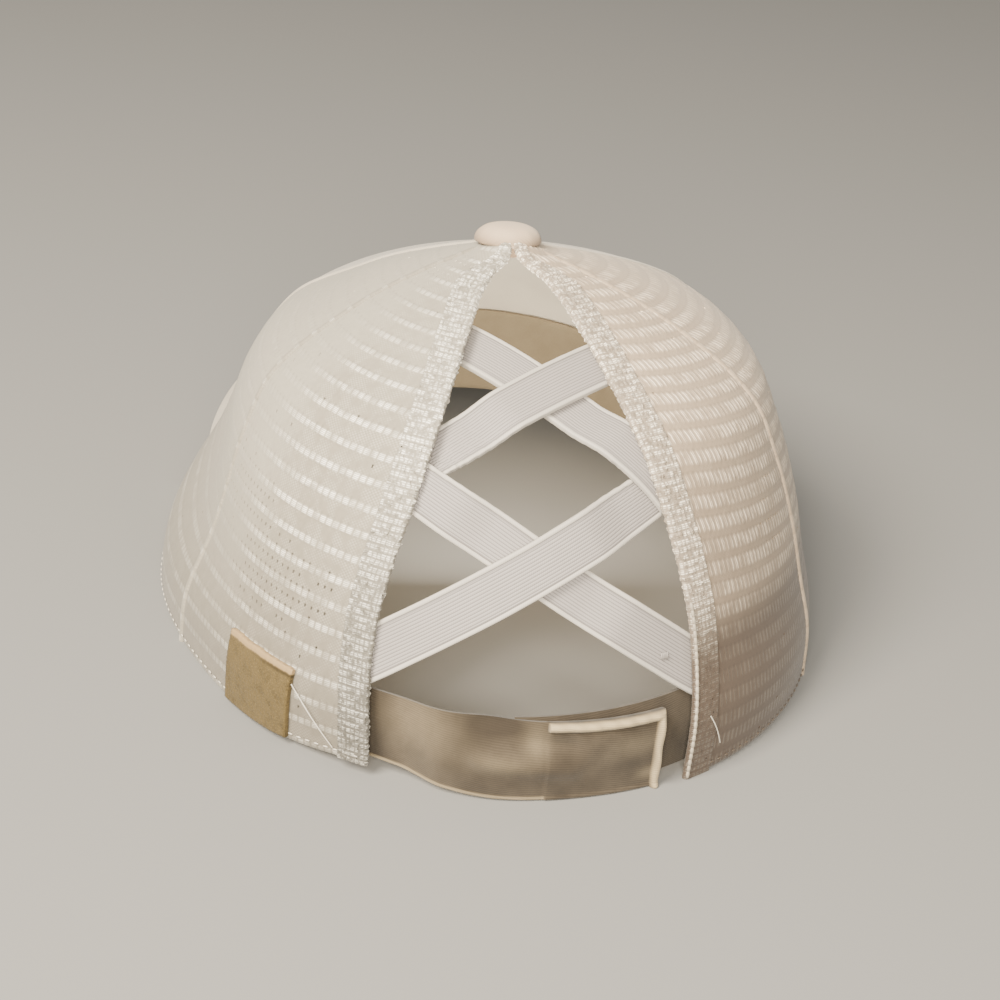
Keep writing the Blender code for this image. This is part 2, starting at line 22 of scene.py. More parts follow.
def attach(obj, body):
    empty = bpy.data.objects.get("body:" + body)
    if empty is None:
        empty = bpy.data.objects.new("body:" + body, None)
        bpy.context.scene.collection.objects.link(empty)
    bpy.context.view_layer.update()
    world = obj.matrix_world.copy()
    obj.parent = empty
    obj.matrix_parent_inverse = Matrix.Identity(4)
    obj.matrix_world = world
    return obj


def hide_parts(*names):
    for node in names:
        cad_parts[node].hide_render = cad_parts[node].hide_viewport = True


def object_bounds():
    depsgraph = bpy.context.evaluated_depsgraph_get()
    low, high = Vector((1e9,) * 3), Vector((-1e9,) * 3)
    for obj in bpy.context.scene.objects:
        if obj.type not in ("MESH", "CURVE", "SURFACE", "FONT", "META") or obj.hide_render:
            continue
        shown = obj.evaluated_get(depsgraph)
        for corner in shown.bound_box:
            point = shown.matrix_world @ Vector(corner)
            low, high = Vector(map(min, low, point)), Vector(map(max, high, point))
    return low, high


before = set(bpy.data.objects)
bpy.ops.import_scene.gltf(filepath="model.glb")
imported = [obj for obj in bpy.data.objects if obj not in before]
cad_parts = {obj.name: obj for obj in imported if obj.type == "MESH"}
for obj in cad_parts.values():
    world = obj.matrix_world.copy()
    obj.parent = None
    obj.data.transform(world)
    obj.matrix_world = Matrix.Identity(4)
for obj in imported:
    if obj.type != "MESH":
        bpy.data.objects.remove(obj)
CAD_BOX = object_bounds()

LOG = logging.getLogger("ponytail_cap")
UV_MAP = "cloth"
MM = 1000.0
NUDGE = 1e-4
MERGE = 1e-6
SEED = 7

Array = np.ndarray
Colour = Tuple[float, float, float]
Angle = Callable[[Array], Array]

ProfileRow = namedtuple("ProfileRow", "back_height back_reach front_height front_reach")
SwellRow = namedtuple("SwellRow", "name angle climb angle_spread climb_spread swell")
OpeningRow = namedtuple("OpeningRow", "climb half_gap")
ElasticRow = namedtuple("ElasticRow", "name left right left_layer crossing_layer right_layer")
BumpRow = namedtuple("BumpRow", "along up along_spread up_spread amount")
PeakRow = namedtuple("PeakRow", "across length")
TailRow = namedtuple("TailRow", "name angles climbs bow")
LightRow = namedtuple("LightRow", "name place size power colour")


def fair_curve(rows: Sequence[Tuple[float, float]], steps_per_span: int = 12) -> Array:
    """Return points of a smooth curve through rows of two numbers each.

    Args:
        rows: the knots of the curve.
        steps_per_span: how many points each span gets.

    Returns:
        An array of points, two numbers each.
    """
    knots = [Vector((first, second, 0.0)) for first, second in rows]
    last = len(knots) - 1
    slopes = [(knots[min(i + 1, last)] - knots[max(i - 1, 0)]).normalized() for i in range(last + 1)]
    points = [knots[0]]
    for i in range(last):
        reach = (knots[i + 1] - knots[i]).length / 3.0
        span = geometry.interpolate_bezier(
            knots[i], knots[i] + slopes[i] * reach,
            knots[i + 1] - slopes[i + 1] * reach, knots[i + 1], steps_per_span + 1)
        points.extend(span[1:])
    return np.array([(point.x, point.y) for point in points])


def smooth_step(value: Array) -> Array:
    """Ease from 0 to 1 as the value runs from 0 to 1."""
    value = np.clip(value, 0.0, 1.0)
    return value * value * (3.0 - 2.0 * value)


def mix(first, second, share):
    """Return the value a share of the way from first to second."""
    return first + (second - first) * share


def hump(value: Array, middle: float, spread: float) -> Array:
    """Return a bell curve of height 1 round a middle."""
    return np.exp(-((value - middle) / spread) ** 2)


def bumps(rows: Sequence[BumpRow], along: Array, up: Array) -> Array:
    """Return the sum of soft bumps at places along and up the cloth."""
    return sum(row.amount * hump(along, row.along, row.along_spread) * hump(up, row.up, row.up_spread)
               for row in rows)


def half_round(place: Array, width: float) -> Array:
    """Return a round ridge of height 1 over a width that starts at 0, and 0 beyond it."""
    return np.sqrt(np.clip(1.0 - (2.0 * place / width - 1.0) ** 2, 0.0, 1.0))


def turned_in(from_edge: Array, reach: float, depth: float) -> Array:
    """Return how far a face turns in near its edge: the whole depth at the edge, 0 past the reach."""
    return np.clip(1.0 - from_edge / reach, 0.0, 1.0) ** 2 * depth


def unit(vectors: Array) -> Array:
    """Return the vectors at length 1."""
    return vectors / np.linalg.norm(vectors, axis=-1, keepdims=True)


@dataclass
class Crown:
    """The crown's outer face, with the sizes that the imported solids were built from."""

    rim_half_length: float = 0.0975
    rim_half_width: float = 0.0840
    height: float = 0.0996
    back_lean: float = 0.0023
    side_lean: float = 0.0027
    top_tilt: float = math.radians(8.0)
    top_hole_radius: float = 0.0045
    gather_height: float = 0.0023
    gather_climb: Tuple[float, float] = (0.955, 0.035)
    gather_spread: float = math.radians(60.0)
    opening_half_width: float = 0.0370
    fold_width: float = 0.0075
    fold_share_at_top: float = 0.35
    clearance: float = 0.0003
    hem_rise: float = 0.0032
    hem_level_climb: float = 0.06
    hem_curl: float = 1.3
    hem_corner: Tuple[float, float] = (math.radians(27.0), math.radians(13.0))
    rise_start: float = math.radians(92.0)
    peak_corner: float = math.radians(120.0)
    peak_front_lift: float = 0.0165
    peak_corner_lift: float = 0.0060
    peak_length: float = 0.0700
    seam_left: float = math.radians(73.0)
    seam_right: float = math.radians(-65.0)
    seam_front: float = math.radians(122.0)
    front_middle: float = math.radians(180.0)
    profile: Tuple[ProfileRow, ...] = (
        ProfileRow(0.00, 1.000, 0.00, 1.000),
        ProfileRow(0.14, 0.995, 0.14, 1.005),
        ProfileRow(0.28, 0.945, 0.28, 0.995),
        ProfileRow(0.42, 0.895, 0.42, 0.965),
        ProfileRow(0.57, 0.829, 0.55, 0.890),
        ProfileRow(0.72, 0.732, 0.66, 0.780),
        ProfileRow(0.85, 0.499, 0.78, 0.540),
        ProfileRow(0.94, 0.238, 0.90, 0.255),
        ProfileRow(1.00, 0.000, 1.00, 0.000),
    )
    swells: Tuple[SwellRow, ...] = (
        SwellRow("left hem flare", 104, 0.05, 27, 0.12, 0.035),
        SwellRow("left hem beside the label", 62, 0.05, 20, 0.16, -0.024),
        SwellRow("left crease above the sweatband", 93, 0.25, 25, 0.15, -0.068),
        SwellRow("left shoulder", 125, 0.60, 45, 0.18, -0.100),
        SwellRow("right hem", -88, 0.10, 30, 0.12, -0.018),
        SwellRow("right shoulder", -125, 0.68, 45, 0.20, 0.090),
        SwellRow("right of the button", -120, 0.84, 40, 0.10, 0.072),
    )
    opening: Tuple[OpeningRow, ...] = (
        OpeningRow(0.00, 0.985),
        OpeningRow(0.14, 1.000),
        OpeningRow(0.24, 0.962),
        OpeningRow(0.32, 0.885),
        OpeningRow(0.40, 0.785),
        OpeningRow(0.48, 0.680),
        OpeningRow(0.60, 0.520),
        OpeningRow(0.74, 0.345),
        OpeningRow(0.82, 0.250),
        OpeningRow(0.88, 0.150),
        OpeningRow(0.93, 0.020),
        OpeningRow(0.96, 0.005),
        OpeningRow(1.00, 0.003),
    )

    def __post_init__(self) -> None:
        """Work out the wall's curves, and where the crown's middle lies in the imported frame."""
        self.back = self._wall("back_height", "back_reach")
        self.front = self._wall("front_height", "front_reach")
        self.wall_length = self.back[3]
        self.edge_curve = fair_curve(self.opening)
        self.hollow_middle = self.height / 4.0
        self.middle_y = CAD_BOX[0].y + self.rim_half_length + self.clearance + self.peak_length
        reaches = self.back[2][::-1] * self.rim_half_width
        self.top_climb = float(np.interp(self.top_hole_radius, reaches, self.back[0][::-1]))

    def _wall(self, heights: str, reaches: str) -> Tuple[Array, Array, Array, float]:
        """Return climbs, the height and reach as shares at each, and the wall's length."""
        curve = fair_curve([
            (getattr(row, heights) * self.height, getattr(row, reaches) * self.rim_half_length)
            for row in self.profile])
        travelled = np.concatenate([[0.0], np.cumsum(np.hypot(*np.diff(curve, axis=0).T))])
        return (travelled / travelled[-1], curve[:, 0] / self.height,
                curve[:, 1] / self.rim_half_length, travelled[-1])

    def rim_lift(self, angle: Array) -> Array:
        """Return how high the hem stands: flat behind, raised where the peak is sewn on."""
        turn = np.abs(np.arctan2(np.sin(angle), np.cos(angle)))
        ramp = np.clip((turn - self.rise_start) / (self.peak_corner - self.rise_start), 0.0, 1.0)
        arch = (np.sin(turn) / math.sin(self.peak_corner)) ** 2
        front = self.peak_front_lift - (self.peak_front_lift - self.peak_corner_lift) * arch
        return np.where(turn < self.peak_corner, self.peak_corner_lift * ramp ** self.hem_curl, front)

    def swelling(self, angle: Array, climb: Array) -> Array:
        """Return the factor by which swellings and dents change the crown's reach."""
        total = 1.0
        for row in self.swells:
            turn = angle - math.radians(row.angle)
            turn = np.arctan2(np.sin(turn), np.cos(turn)) / math.radians(row.angle_spread)
            rise = (climb - row.climb) / row.climb_spread
            total = total + row.swell * np.exp(-turn ** 2 - rise ** 2)
        return total

    def face(self, angle: Array, climb: Array) -> Array:
        """Return points on the crown's outer face."""
        front = np.maximum(0.0, -np.cos(angle)) ** 2
        height = ((1.0 - front) * np.interp(climb, self.back[0], self.back[1])
                  + front * np.interp(climb, self.front[0], self.front[1]))
        reach = ((1.0 - front) * np.interp(climb, self.back[0], self.back[2])
                 + front * np.interp(climb, self.front[0], self.front[2]))
        reach = reach * self.swelling(angle, climb)
        corner = self.hem_rise * np.exp(-((angle - self.hem_corner[0]) / self.hem_corner[1]) ** 2)
        x = self.rim_half_width * reach * np.sin(angle) + self.side_lean * height ** 4
        y = self.rim_half_length * reach * np.cos(angle) + self.back_lean * height + self.middle_y
        tilt = math.tan(self.top_tilt) * self.rim_half_length * reach * np.cos(angle) * height ** 8
        z = (self.height * height + tilt + self.rim_lift(angle) * (1.0 - height)
             + corner * (1.0 - height) ** 4)
        return np.stack(np.broadcast_arrays(x, y, z), axis=-1)

    def out(self, angle: Array, climb: Array) -> Array:
        """Return the outward direction of the crown's face, level at the hem."""
        around = self.face(angle + NUDGE, climb) - self.face(angle - NUDGE, climb)
        upward = (self.face(angle, np.minimum(climb + NUDGE, 1.0))
                  - self.face(angle, np.maximum(climb - NUDGE, 0.0)))
        out = unit(np.cross(upward, around))
        out[..., 2] *= smooth_step(climb / self.hem_level_climb)
        return unit(out)

    def point(self, angle: Array, climb: Array, depth: Array = 0.0) -> Array:
        """Return points a depth inside the crown's outer face."""
        return self.face(angle, climb) - self.out(angle, climb) * np.asarray(depth)[..., None]

    def gathered(self, angle: Array, climb: Array, depth: Array) -> Array:
        """Return points like point(), lifted where the net bunches up behind the button."""
        lift = self.gather_height * hump(angle, 0.0, self.gather_spread) * hump(climb, *self.gather_climb)
        return self.point(angle, climb, depth - lift)

    def turn_for(self, length: Array, angle: Array, climb: Array) -> Array:
        """Return the angle that a length along the crown's face covers there."""
        step = self.face(angle + NUDGE, climb) - self.face(angle - NUDGE, climb)
        return length * 2.0 * NUDGE / np.linalg.norm(step, axis=-1)

    def climb_for(self, height: Array) -> Array:
        """Return the climb at a length measured up the wall from the hem."""
        return height / self.wall_length

    def opening_angle(self, climb: Array) -> Array:
        """Return the angle of the opening's left edge; its right edge is the mirror of it."""
        half_gap = np.interp(climb, self.edge_curve[:, 0], self.edge_curve[:, 1]) * self.opening_half_width
        return np.arcsin(half_gap / (np.interp(climb, self.back[0], self.back[2]) * self.rim_half_width))

    def fold_at(self, climb: Array) -> Array:
        """Return the doubled edge's width, which narrows where the two meet at the top."""
        radius = np.interp(climb, self.back[0], self.back[2]) * self.rim_half_width
        return np.minimum(self.fold_width, self.fold_share_at_top * radius)

    def past_opening(self, side: int, climb: Array, length: Array) -> Array:
        """Return the angle at a length beyond the opening's edge on side +1 (left) or -1."""
        edge = side * self.opening_angle(climb)
        return edge + side * self.turn_for(length, edge, climb)

    def on_face(self, points: Array) -> Tuple[Array, Array]:
        """Return the angles and climbs where lines from the hollow's middle meet the face.

        Args:
            points: points near the crown's face, three numbers each.

        Returns:
            The angles and the climbs.
        """
        x, y, z = points[:, 0], points[:, 1] - self.middle_y, points[:, 2]
        share = z / self.height
        angle = np.arctan2((x - self.side_lean * share ** 4) / self.rim_half_width,
                           (y - self.back_lean * share) / self.rim_half_length)
        climbs = self.back[0]
        wall = self.face(angle[:, None], climbs[None, :])
        slopes = np.arctan2(wall[..., 2] - self.hollow_middle,
                            np.hypot(wall[..., 0], wall[..., 1] - self.middle_y))
        aims = np.arctan2(z - self.hollow_middle, np.hypot(x, y))
        found = [np.interp(aim, slope, climbs) for aim, slope in zip(aims, slopes)]
        return angle, np.array(found)

    def row_lengths(self, start: Angle, end: Angle, climbs: Array, samples: int = 49) -> Tuple[Array, Array]:
        """Measure the face along level rows between two edges.

        Args:
            start: the angle of the first edge at a climb.
            end: the angle of the other edge at a climb.
            climbs: the climb of each row.
            samples: how many places are measured along each row.

        Returns:
            The sampled angles of each row, and the length travelled to each of them.
        """
        shares = np.linspace(0.0, 1.0, samples)
        angles = mix(start(climbs)[:, None], end(climbs)[:, None], shares[None, :])
        points = self.face(angles, np.repeat(climbs[:, None], samples, axis=1))
        steps = np.linalg.norm(np.diff(points, axis=1), axis=-1)
        return angles, np.concatenate([np.zeros((len(climbs), 1)), np.cumsum(steps, axis=1)], axis=1)


@dataclass(frozen=True)
class Signal:
    """A socket of a shader graph, with arithmetic that adds Math nodes."""

    graph: "ShaderGraph"
    socket: bpy.types.NodeSocket

    def __add__(self, other):
        """Add."""
        return self.graph.maths("ADD", self, other)

    def __sub__(self, other):
        """Subtract."""
        return self.graph.maths("SUBTRACT", self, other)

    def __mul__(self, other):
        """Multiply."""
        return self.graph.maths("MULTIPLY", self, other)

    def __truediv__(self, other):
        """Divide."""
        return self.graph.maths("DIVIDE", self, other)

    def __rsub__(self, other):
        """Subtract this from a number."""
        return self.graph.maths("SUBTRACT", other, self)

    __radd__ = __add__
    __rmul__ = __mul__

    def sine(self) -> "Signal":
        """Return the sine."""
        return self.graph.maths("SINE", self)

    def fraction(self) -> "Signal":
        """Return the part after the decimal point."""
        return self.graph.maths("FRACT", self)

    def wave(self, length: float) -> "Signal":
        """Return a wave from 0 to 1 that repeats after a length."""
        return (self * (math.tau / length)).sine() * 0.5 + 0.5

    def size(self) -> "Signal":
        """Return the value without its sign."""
        return self.graph.maths("ABSOLUTE", self)

    def ease(self, low: float, high: float) -> "Signal":
        """Return 0 below low and 1 above high, with a smooth ramp between."""
        return self.graph.add("ShaderNodeMapRange", {"interpolation_type": "SMOOTHSTEP"},
                              {0: self, 1: low, 2: high})

    def window(self, low: float, high: float, soft: float) -> "Signal":
        """Return 1 between low and high with soft ends, and 0 elsewhere."""
        return self.ease(low - soft, low + soft) * (1.0 - self.ease(high - soft, high + soft))


class ShaderGraph:
    """A material's nodes, built from expressions on signals."""

    def __init__(self, name: str, sheen: float = 0.0, specular: float = 0.35) -> None:
        """Start a material with one Principled shader."""
        self.material = bpy.data.materials.new(name)
        self.material.use_nodes = True
        self.tree = self.material.node_tree
        self.shader = self.tree.nodes["Principled BSDF"]
        self.shader.inputs["Sheen Weight"].default_value = sheen
        self.shader.inputs["Sheen Roughness"].default_value = 0.5
        self.shader.inputs["Specular IOR Level"].default_value = specular

    def join(self, target: bpy.types.NodeSocket, value) -> None:
        """Link a signal to a socket, or set its value."""
        if isinstance(value, Signal):
            self.tree.links.new(value.socket, target)
        else:
            target.default_value = value

    def add(self, kind: str, settings: Optional[Dict] = None, inputs: Optional[Dict] = None,
            output: int = 0) -> Signal:
        """Add any node.

        Args:
            kind: the node's type.
            settings: its own settings, set before its sockets are joined.
            inputs: values or signals for its sockets, by number or name.
            output: the number of the socket that is returned.

        Returns:
            The output as a signal.
        """
        node = self.tree.nodes.new(kind)
        for key, value in (settings or {}).items():
            setattr(node, key, value)
        for key, value in (inputs or {}).items():
            self.join(node.inputs[key], value)
        return Signal(self, node.outputs[output])

    def maths(self, operation: str, *values) -> Signal:
        """Add a Math node on signals or numbers."""
        return self.add("ShaderNodeMath", {"operation": operation}, dict(enumerate(values)))

    def blend(self, first, second, share) -> Signal:
        """Mix two colours, each a signal or three numbers."""
        first, second = (value if isinstance(value, Signal) else (*value, 1.0) for value in (first, second))
        return self.add("ShaderNodeMix", {"data_type": "RGBA"}, {0: share, 6: first, 7: second}, 2)

    def shade(self, colour: Signal, brightness: Signal) -> Signal:
        """Multiply a colour by a brightness."""
        return self.add("ShaderNodeVectorMath", {"operation": "SCALE"}, {0: colour, 3: brightness})

    def cloth_uv(self) -> Tuple[Signal, Signal]:
        """Return the place along and up the cloth, in millimetres."""
        place = self.add("ShaderNodeUVMap", {"uv_map": UV_MAP})
        return tuple(self.add("ShaderNodeSeparateXYZ", None, {0: place}, axis) for axis in (0, 1))

    def place(self) -> Signal:
        """Return the place on the object, in metres."""
        return self.add("ShaderNodeTexCoord", None, None, 3)

    def attribute(self, name: str) -> Signal:
        """Return a value painted on the mesh."""
        return self.add("ShaderNodeAttribute", {"attribute_name": name}, None, 2)

    def noise(self, per_metre: float, detail: float = 2.0, roughness: float = 0.5,
              vector: Optional[Signal] = None) -> Signal:
        """Return soft noise round 0.5 with so many blotches to the metre."""
        return self.add("ShaderNodeTexNoise", None, {
            "Vector": vector or self.place(), "Scale": per_metre, "Detail": detail, "Roughness": roughness})

    def mottle(self, per_metre: float, amount: float) -> Signal:
        """Return a brightness round 1 that varies by an amount in fine blotches."""
        return self.noise(per_metre, 3.0) * amount + (1.0 - amount / 2.0)

    def fibres(self, along_mm: Signal, up_mm: Signal, length: float, width: float) -> Signal:
        """Return noise drawn out into fibres along the cloth."""
        vector = self.add("ShaderNodeCombineXYZ", None, {0: along_mm / length, 1: up_mm / width})
        return self.noise(1.0, 2.0, 0.6, vector)

    def finish(self, colour: Signal, roughness, height: Signal, height_m: float,
               strength: float = 1.0) -> bpy.types.Material:
        """Join the shader's inputs.

        Args:
            colour: the base colour.
            roughness: a signal or a number.
            height: the relief, about 0 to 1.
            height_m: what a relief of 1 stands for, in metres.
            strength: how strongly the relief shows.

        Returns:
            The finished material.
        """
        bump = self.add("ShaderNodeBump", None,
                        {"Strength": strength, "Distance": height_m, "Height": height})
        self.join(self.shader.inputs["Base Color"], colour)
        self.join(self.shader.inputs["Roughness"], roughness)
        self.join(self.shader.inputs["Normal"], bump)
        return self.material


@dataclass(frozen=True)
class NetPattern:
    """A knitted ladder net: bands of shiny bars, with small holes and dull bands between.

    Bands, bars, row lines and column lines are shares of the pitch. A relief of 1 stands for
    the pattern's relief in metres. Flattening is the share of it that goes where the sweatband
    shows through with painted shade, or where the net is muted.
    """

    row_pitch: float = 0.00600
    bar_pitch: float = 0.00200
    gap_shine: float = 0.12
    mesh_shine: float = 0.14
    softness: float = 0.05
    band: Tuple[float, float] = (0.03, 0.29)
    bar: Tuple[float, float] = (0.22, 0.94)
    threads_up: bool = False
    thread_mm: float = 0.42
    row_lines: Tuple[float, ...] = (0.0, 0.07, 0.22, 0.29, 0.38, 0.52, 0.66, 0.80, 0.90)
    row_relief: Tuple[float, ...] = (0.10, 1.0, 1.0, 0.10, 0.0, 0.25, 0.0, 0.22, 0.0)
    hole_rows: Tuple[int, ...] = (3, 6)
    column_lines: Tuple[float, ...] = (0.0, 0.26, 0.42, 0.86)
    column_relief: Tuple[float, ...] = (0.15, 0.15, 1.0, 1.0)
    relief: float = 0.00030
    wall: float = 0.00055
    jitter: float = 0.00004
    drift: float = 0.00004
    uneven: float = 0.25
    backed_flattens: float = 1.0
    muted_flattens: float = 0.85


LEFT_NET = NetPattern()
RIGHT_NET = NetPattern(row_pitch=0.00520, bar_pitch=0.00160, band=(0.08, 0.66), bar=(0.28, 0.74),
                       threads_up=True, thread_mm=0.60, mesh_shine=0.06, softness=0.11,
                       row_lines=(0.0, 0.12, 0.28, 0.46, 0.62, 0.76, 0.88),
                       row_relief=(0.05, 1.0, 1.15, 1.0, 0.05, 0.0, 0.0), hole_rows=(4,),
                       column_lines=(0.0, 0.38, 0.72), column_relief=(0.0, 1.0, 1.0),
                       relief=0.00020, uneven=0.35)
FOLDED_NET = NetPattern(row_pitch=0.00170, bar_pitch=0.00115, band=(0.05, 0.75), bar=(0.15, 0.85),
                        thread_mm=0.5, row_lines=(0.0, 0.33, 0.66), row_relief=(0.0, 1.0, 0.9),
                        hole_rows=(), column_lines=(0.0, 0.33, 0.66), column_relief=(0.0, 1.0, 0.8),
                        relief=0.00022, wall=0.00045, jitter=0.00006, drift=0.00016, uneven=1.0,
                        backed_flattens=0.0)
BACKED_FOLD = replace(FOLDED_NET, backed_flattens=0.85)


@dataclass(frozen=True)
class NetFinish:
    """Knitted net: bars of glossy filaments on duller bands, with painted shade in the pits beside the bars.

    A ramp is where a pattern starts to show and where it shows in full. Shares are of the
    way from the dull colour to the bright one. The bright colour is the filaments' own white
    with painted sheen on it.
    """

    name: str = "ladder_net"
    bright: Colour = (1.0, 0.95, 0.83)
    dull: Colour = (0.232, 0.205, 0.155)
    # warm: the sweatband seen through the net, darkened with painted shade.
    warm: Colour = (0.085, 0.072, 0.053)
    pattern: NetPattern = LEFT_NET
    bar_softness: float = 1.4
    thread_ramp: Tuple[float, float] = (0.05, 0.75)
    bar_share: float = 0.06
    thread_share: float = 0.66
    # muted_shine: a painted highlight over the muted part of the net.
    muted_shine: float = 0.10
    backed_and_shaded_dulls: float = 0.94
    patches_per_metre: float = 260.0
    patch_ramp: Tuple[float, float] = (0.35, 0.62)
    patch_floor: float = 0.30
    mesh_mm: Tuple[float, float] = (1.0, 0.86)
    mesh_ramp: Tuple[float, float] = (0.3, 0.8)
    ground_per_metre: float = 300.0
    ground_ramp: Tuple[float, float] = (0.35, 0.65)
    painted_pit_shade: float = 0.15
    pit_width: float = 0.12
    pit_softness: float = 0.03
    mottle: float = 0.22
    mottle_per_metre: float = 900.0
    fibre_mm: Tuple[float, float] = (0.9, 0.14)
    fibre_height: float = 0.8
    depth: float = 0.00007
    roughness: float = 0.80
    gloss: float = 0.42

    def build(self) -> bpy.types.Material:
        """Make the material."""
        pattern = self.pattern
        graph = ShaderGraph(self.name, sheen=0.12, specular=0.5)
        along, up = graph.cloth_uv()
        row = (up / (pattern.row_pitch * MM)).fraction()
        column = (along / (pattern.bar_pitch * MM)).fraction()
        in_band = row.window(*pattern.band, pattern.softness)
        in_bar = column.window(*pattern.bar, pattern.softness * self.bar_softness)
        across = along if pattern.threads_up else up
        thread = across.wave(pattern.thread_mm).ease(*self.thread_ramp)
        # muted marks where the painted sheen on the bars is dimmed: bars turned from the light, and high up.
        shown = 1.0 - graph.attribute("muted")
        shine = in_band * in_bar * shown
        patches = graph.noise(self.patches_per_metre).ease(*self.patch_ramp)
        patches = patches * (1.0 - self.patch_floor) + self.patch_floor
        along_wave, up_wave = (way * (math.tau / size) for way, size in zip((along, up), self.mesh_mm))
        mesh = up_wave.sine() * along_wave.sine() * 0.5 + 0.5
        blotches = graph.noise(self.ground_per_metre).ease(*self.ground_ramp)
        ground = mesh.ease(*self.mesh_ramp) * blotches * shown
        # Where the sweatband shows through, with painted shade that darkens the net towards the hem.
        backed_and_shaded = graph.attribute("backed_and_shaded")
        # Painted sheen: the bars and their threads are lifted towards the bright colour.
        share = pattern.gap_shine * in_band * shown + shine * (self.bar_share + self.thread_share * thread)
        share = share * patches + pattern.mesh_shine * ground * (1.0 - in_band)
        # The muted part gets a painted highlight; the sheen fades where the sweatband and painted shade lie.
        share = (share + self.muted_shine * (1.0 - shown)) * (1.0 - self.backed_and_shaded_dulls * backed_and_shaded)
        base = graph.blend(self.dull, self.warm, backed_and_shaded)
        band_end = pattern.band[1]
        # Painted shade in the pits below each band, between the bars.
        pit = row.window(band_end, band_end + self.pit_width, self.pit_softness) * (1.0 - in_bar)
        brightness = graph.mottle(self.mottle_per_metre, self.mottle) * (1.0 - self.painted_pit_shade * pit)
        colour = graph.shade(graph.blend(base, self.bright, share), brightness)
        height = thread * in_band * in_bar + graph.fibres(along, up, *self.fibre_mm) * self.fibre_height
        return graph.finish(colour, self.roughness - self.gloss * shine, height, self.depth, strength=0.8)


@dataclass(frozen=True)
class TwillFinish:
    """Woven twill: fine slanting ribs over soft mottling."""

    name: str = "twill"
    colour: Colour = (0.42, 0.375, 0.30)
    shade: Colour = (0.35, 0.31, 0.245)
    rib_mm: float = 0.62
    slant: float = 0.62
    thread_pitch: float = 0.8
    wobble_mm: float = 0.5
    wobble_per_metre: float = 260.0
    blotches_per_metre: float = 70.0
    blotch_share: float = 0.55
    rib_height: float = 0.8
    thread_height: float = 0.5
    fibre_height: float = 0.4
    fibre_mm: Tuple[float, float] = (0.7, 0.15)
    depth: float = 0.00010
    roughness: float = 0.85

    def build(self) -> bpy.types.Material:
        """Make the material."""
        graph = ShaderGraph(self.name, sheen=0.25, specular=0.25)
        along, up = graph.cloth_uv()
        wobble = graph.noise(self.wobble_per_metre) * self.wobble_mm
        rib = (along * self.slant + up + wobble).wave(self.rib_mm)
        thread = (along - up * self.slant).wave(self.rib_mm * self.thread_pitch)
        fibres = graph.fibres(along, up, *self.fibre_mm)
        height = rib * self.rib_height + thread * rib * self.thread_height + fibres * self.fibre_height
        blotch = graph.noise(self.blotches_per_metre, 4.0).ease(0.35, 0.7)
        share = rib * (1.0 - self.blotch_share) + blotch * self.blotch_share
        colour = graph.blend(self.shade, self.colour, share)
        return graph.finish(colour, self.roughness, height, self.depth, strength=0.7)


@dataclass(frozen=True)
class ElasticFinish:
    """Braided elastic: fine lengthwise ribs with a cross grain, paler at its edges, with painted shade in the
    grooves beside the edges and between the ribs.
    """

    name: str = "braided_elastic"
    colour: Colour = (0.285, 0.258, 0.240)
    # groove: the painted shade between the ribs.
    groove: Colour = (0.115, 0.103, 0.096)
    edge: Colour = (0.42, 0.385, 0.335)
    width_mm: float = 12.0
    edge_mm: float = 1.1
    edge_ramp_mm: Tuple[float, float] = (-0.15, 0.05)
    groove_mm: float = 0.42
    groove_soft_mm: float = 0.08
    groove_shade: float = 0.32
    ribs: int = 13
    pick_mm: float = 0.45
    pick_bend_mm: float = 0.1
    pick_shade: float = 0.10
    pick_height: float = 0.8
    fibre_height: float = 0.5
    fibre_mm: Tuple[float, float] = (1.1, 0.1)
    mottle: float = 0.08
    mottle_per_metre: float = 240.0
    depth: float = 0.00005
    roughness: float = 0.58

    def build(self) -> bpy.types.Material:
        """Make the material."""
        graph = ShaderGraph(self.name, sheen=0.2, specular=0.4)
        along, up = graph.cloth_uv()
        from_edge = self.width_mm / 2.0 - (up - self.width_mm / 2.0).size()
        is_edge = 1.0 - from_edge.ease(*(self.edge_mm + past for past in self.edge_ramp_mm))
        groove = from_edge.window(self.edge_mm, self.edge_mm + self.groove_mm, self.groove_soft_mm)
        pitch = (self.width_mm - 2.0 * self.edge_mm) / self.ribs
        rib = ((up - self.edge_mm) * (math.pi / pitch)).sine().size()
        pick = (along + rib * self.pick_bend_mm).wave(self.pick_mm)
        # Painted shade: darker between the ribs and in the groove beside each edge cord.
        ribbed = graph.blend(self.groove, self.colour, rib.ease(0.0, 0.6))
        ribbed = graph.shade(ribbed, 1.0 - self.groove_shade * groove)
        brightness = graph.mottle(self.mottle_per_metre, self.mottle)
        brightness = brightness * ((1.0 - self.pick_shade) + self.pick_shade * pick)
        colour = graph.shade(graph.blend(ribbed, self.edge, is_edge), brightness)
        height = pick * self.pick_height + graph.fibres(along, up, *self.fibre_mm) * self.fibre_height
        return graph.finish(colour, self.roughness, height, self.depth, strength=0.6)


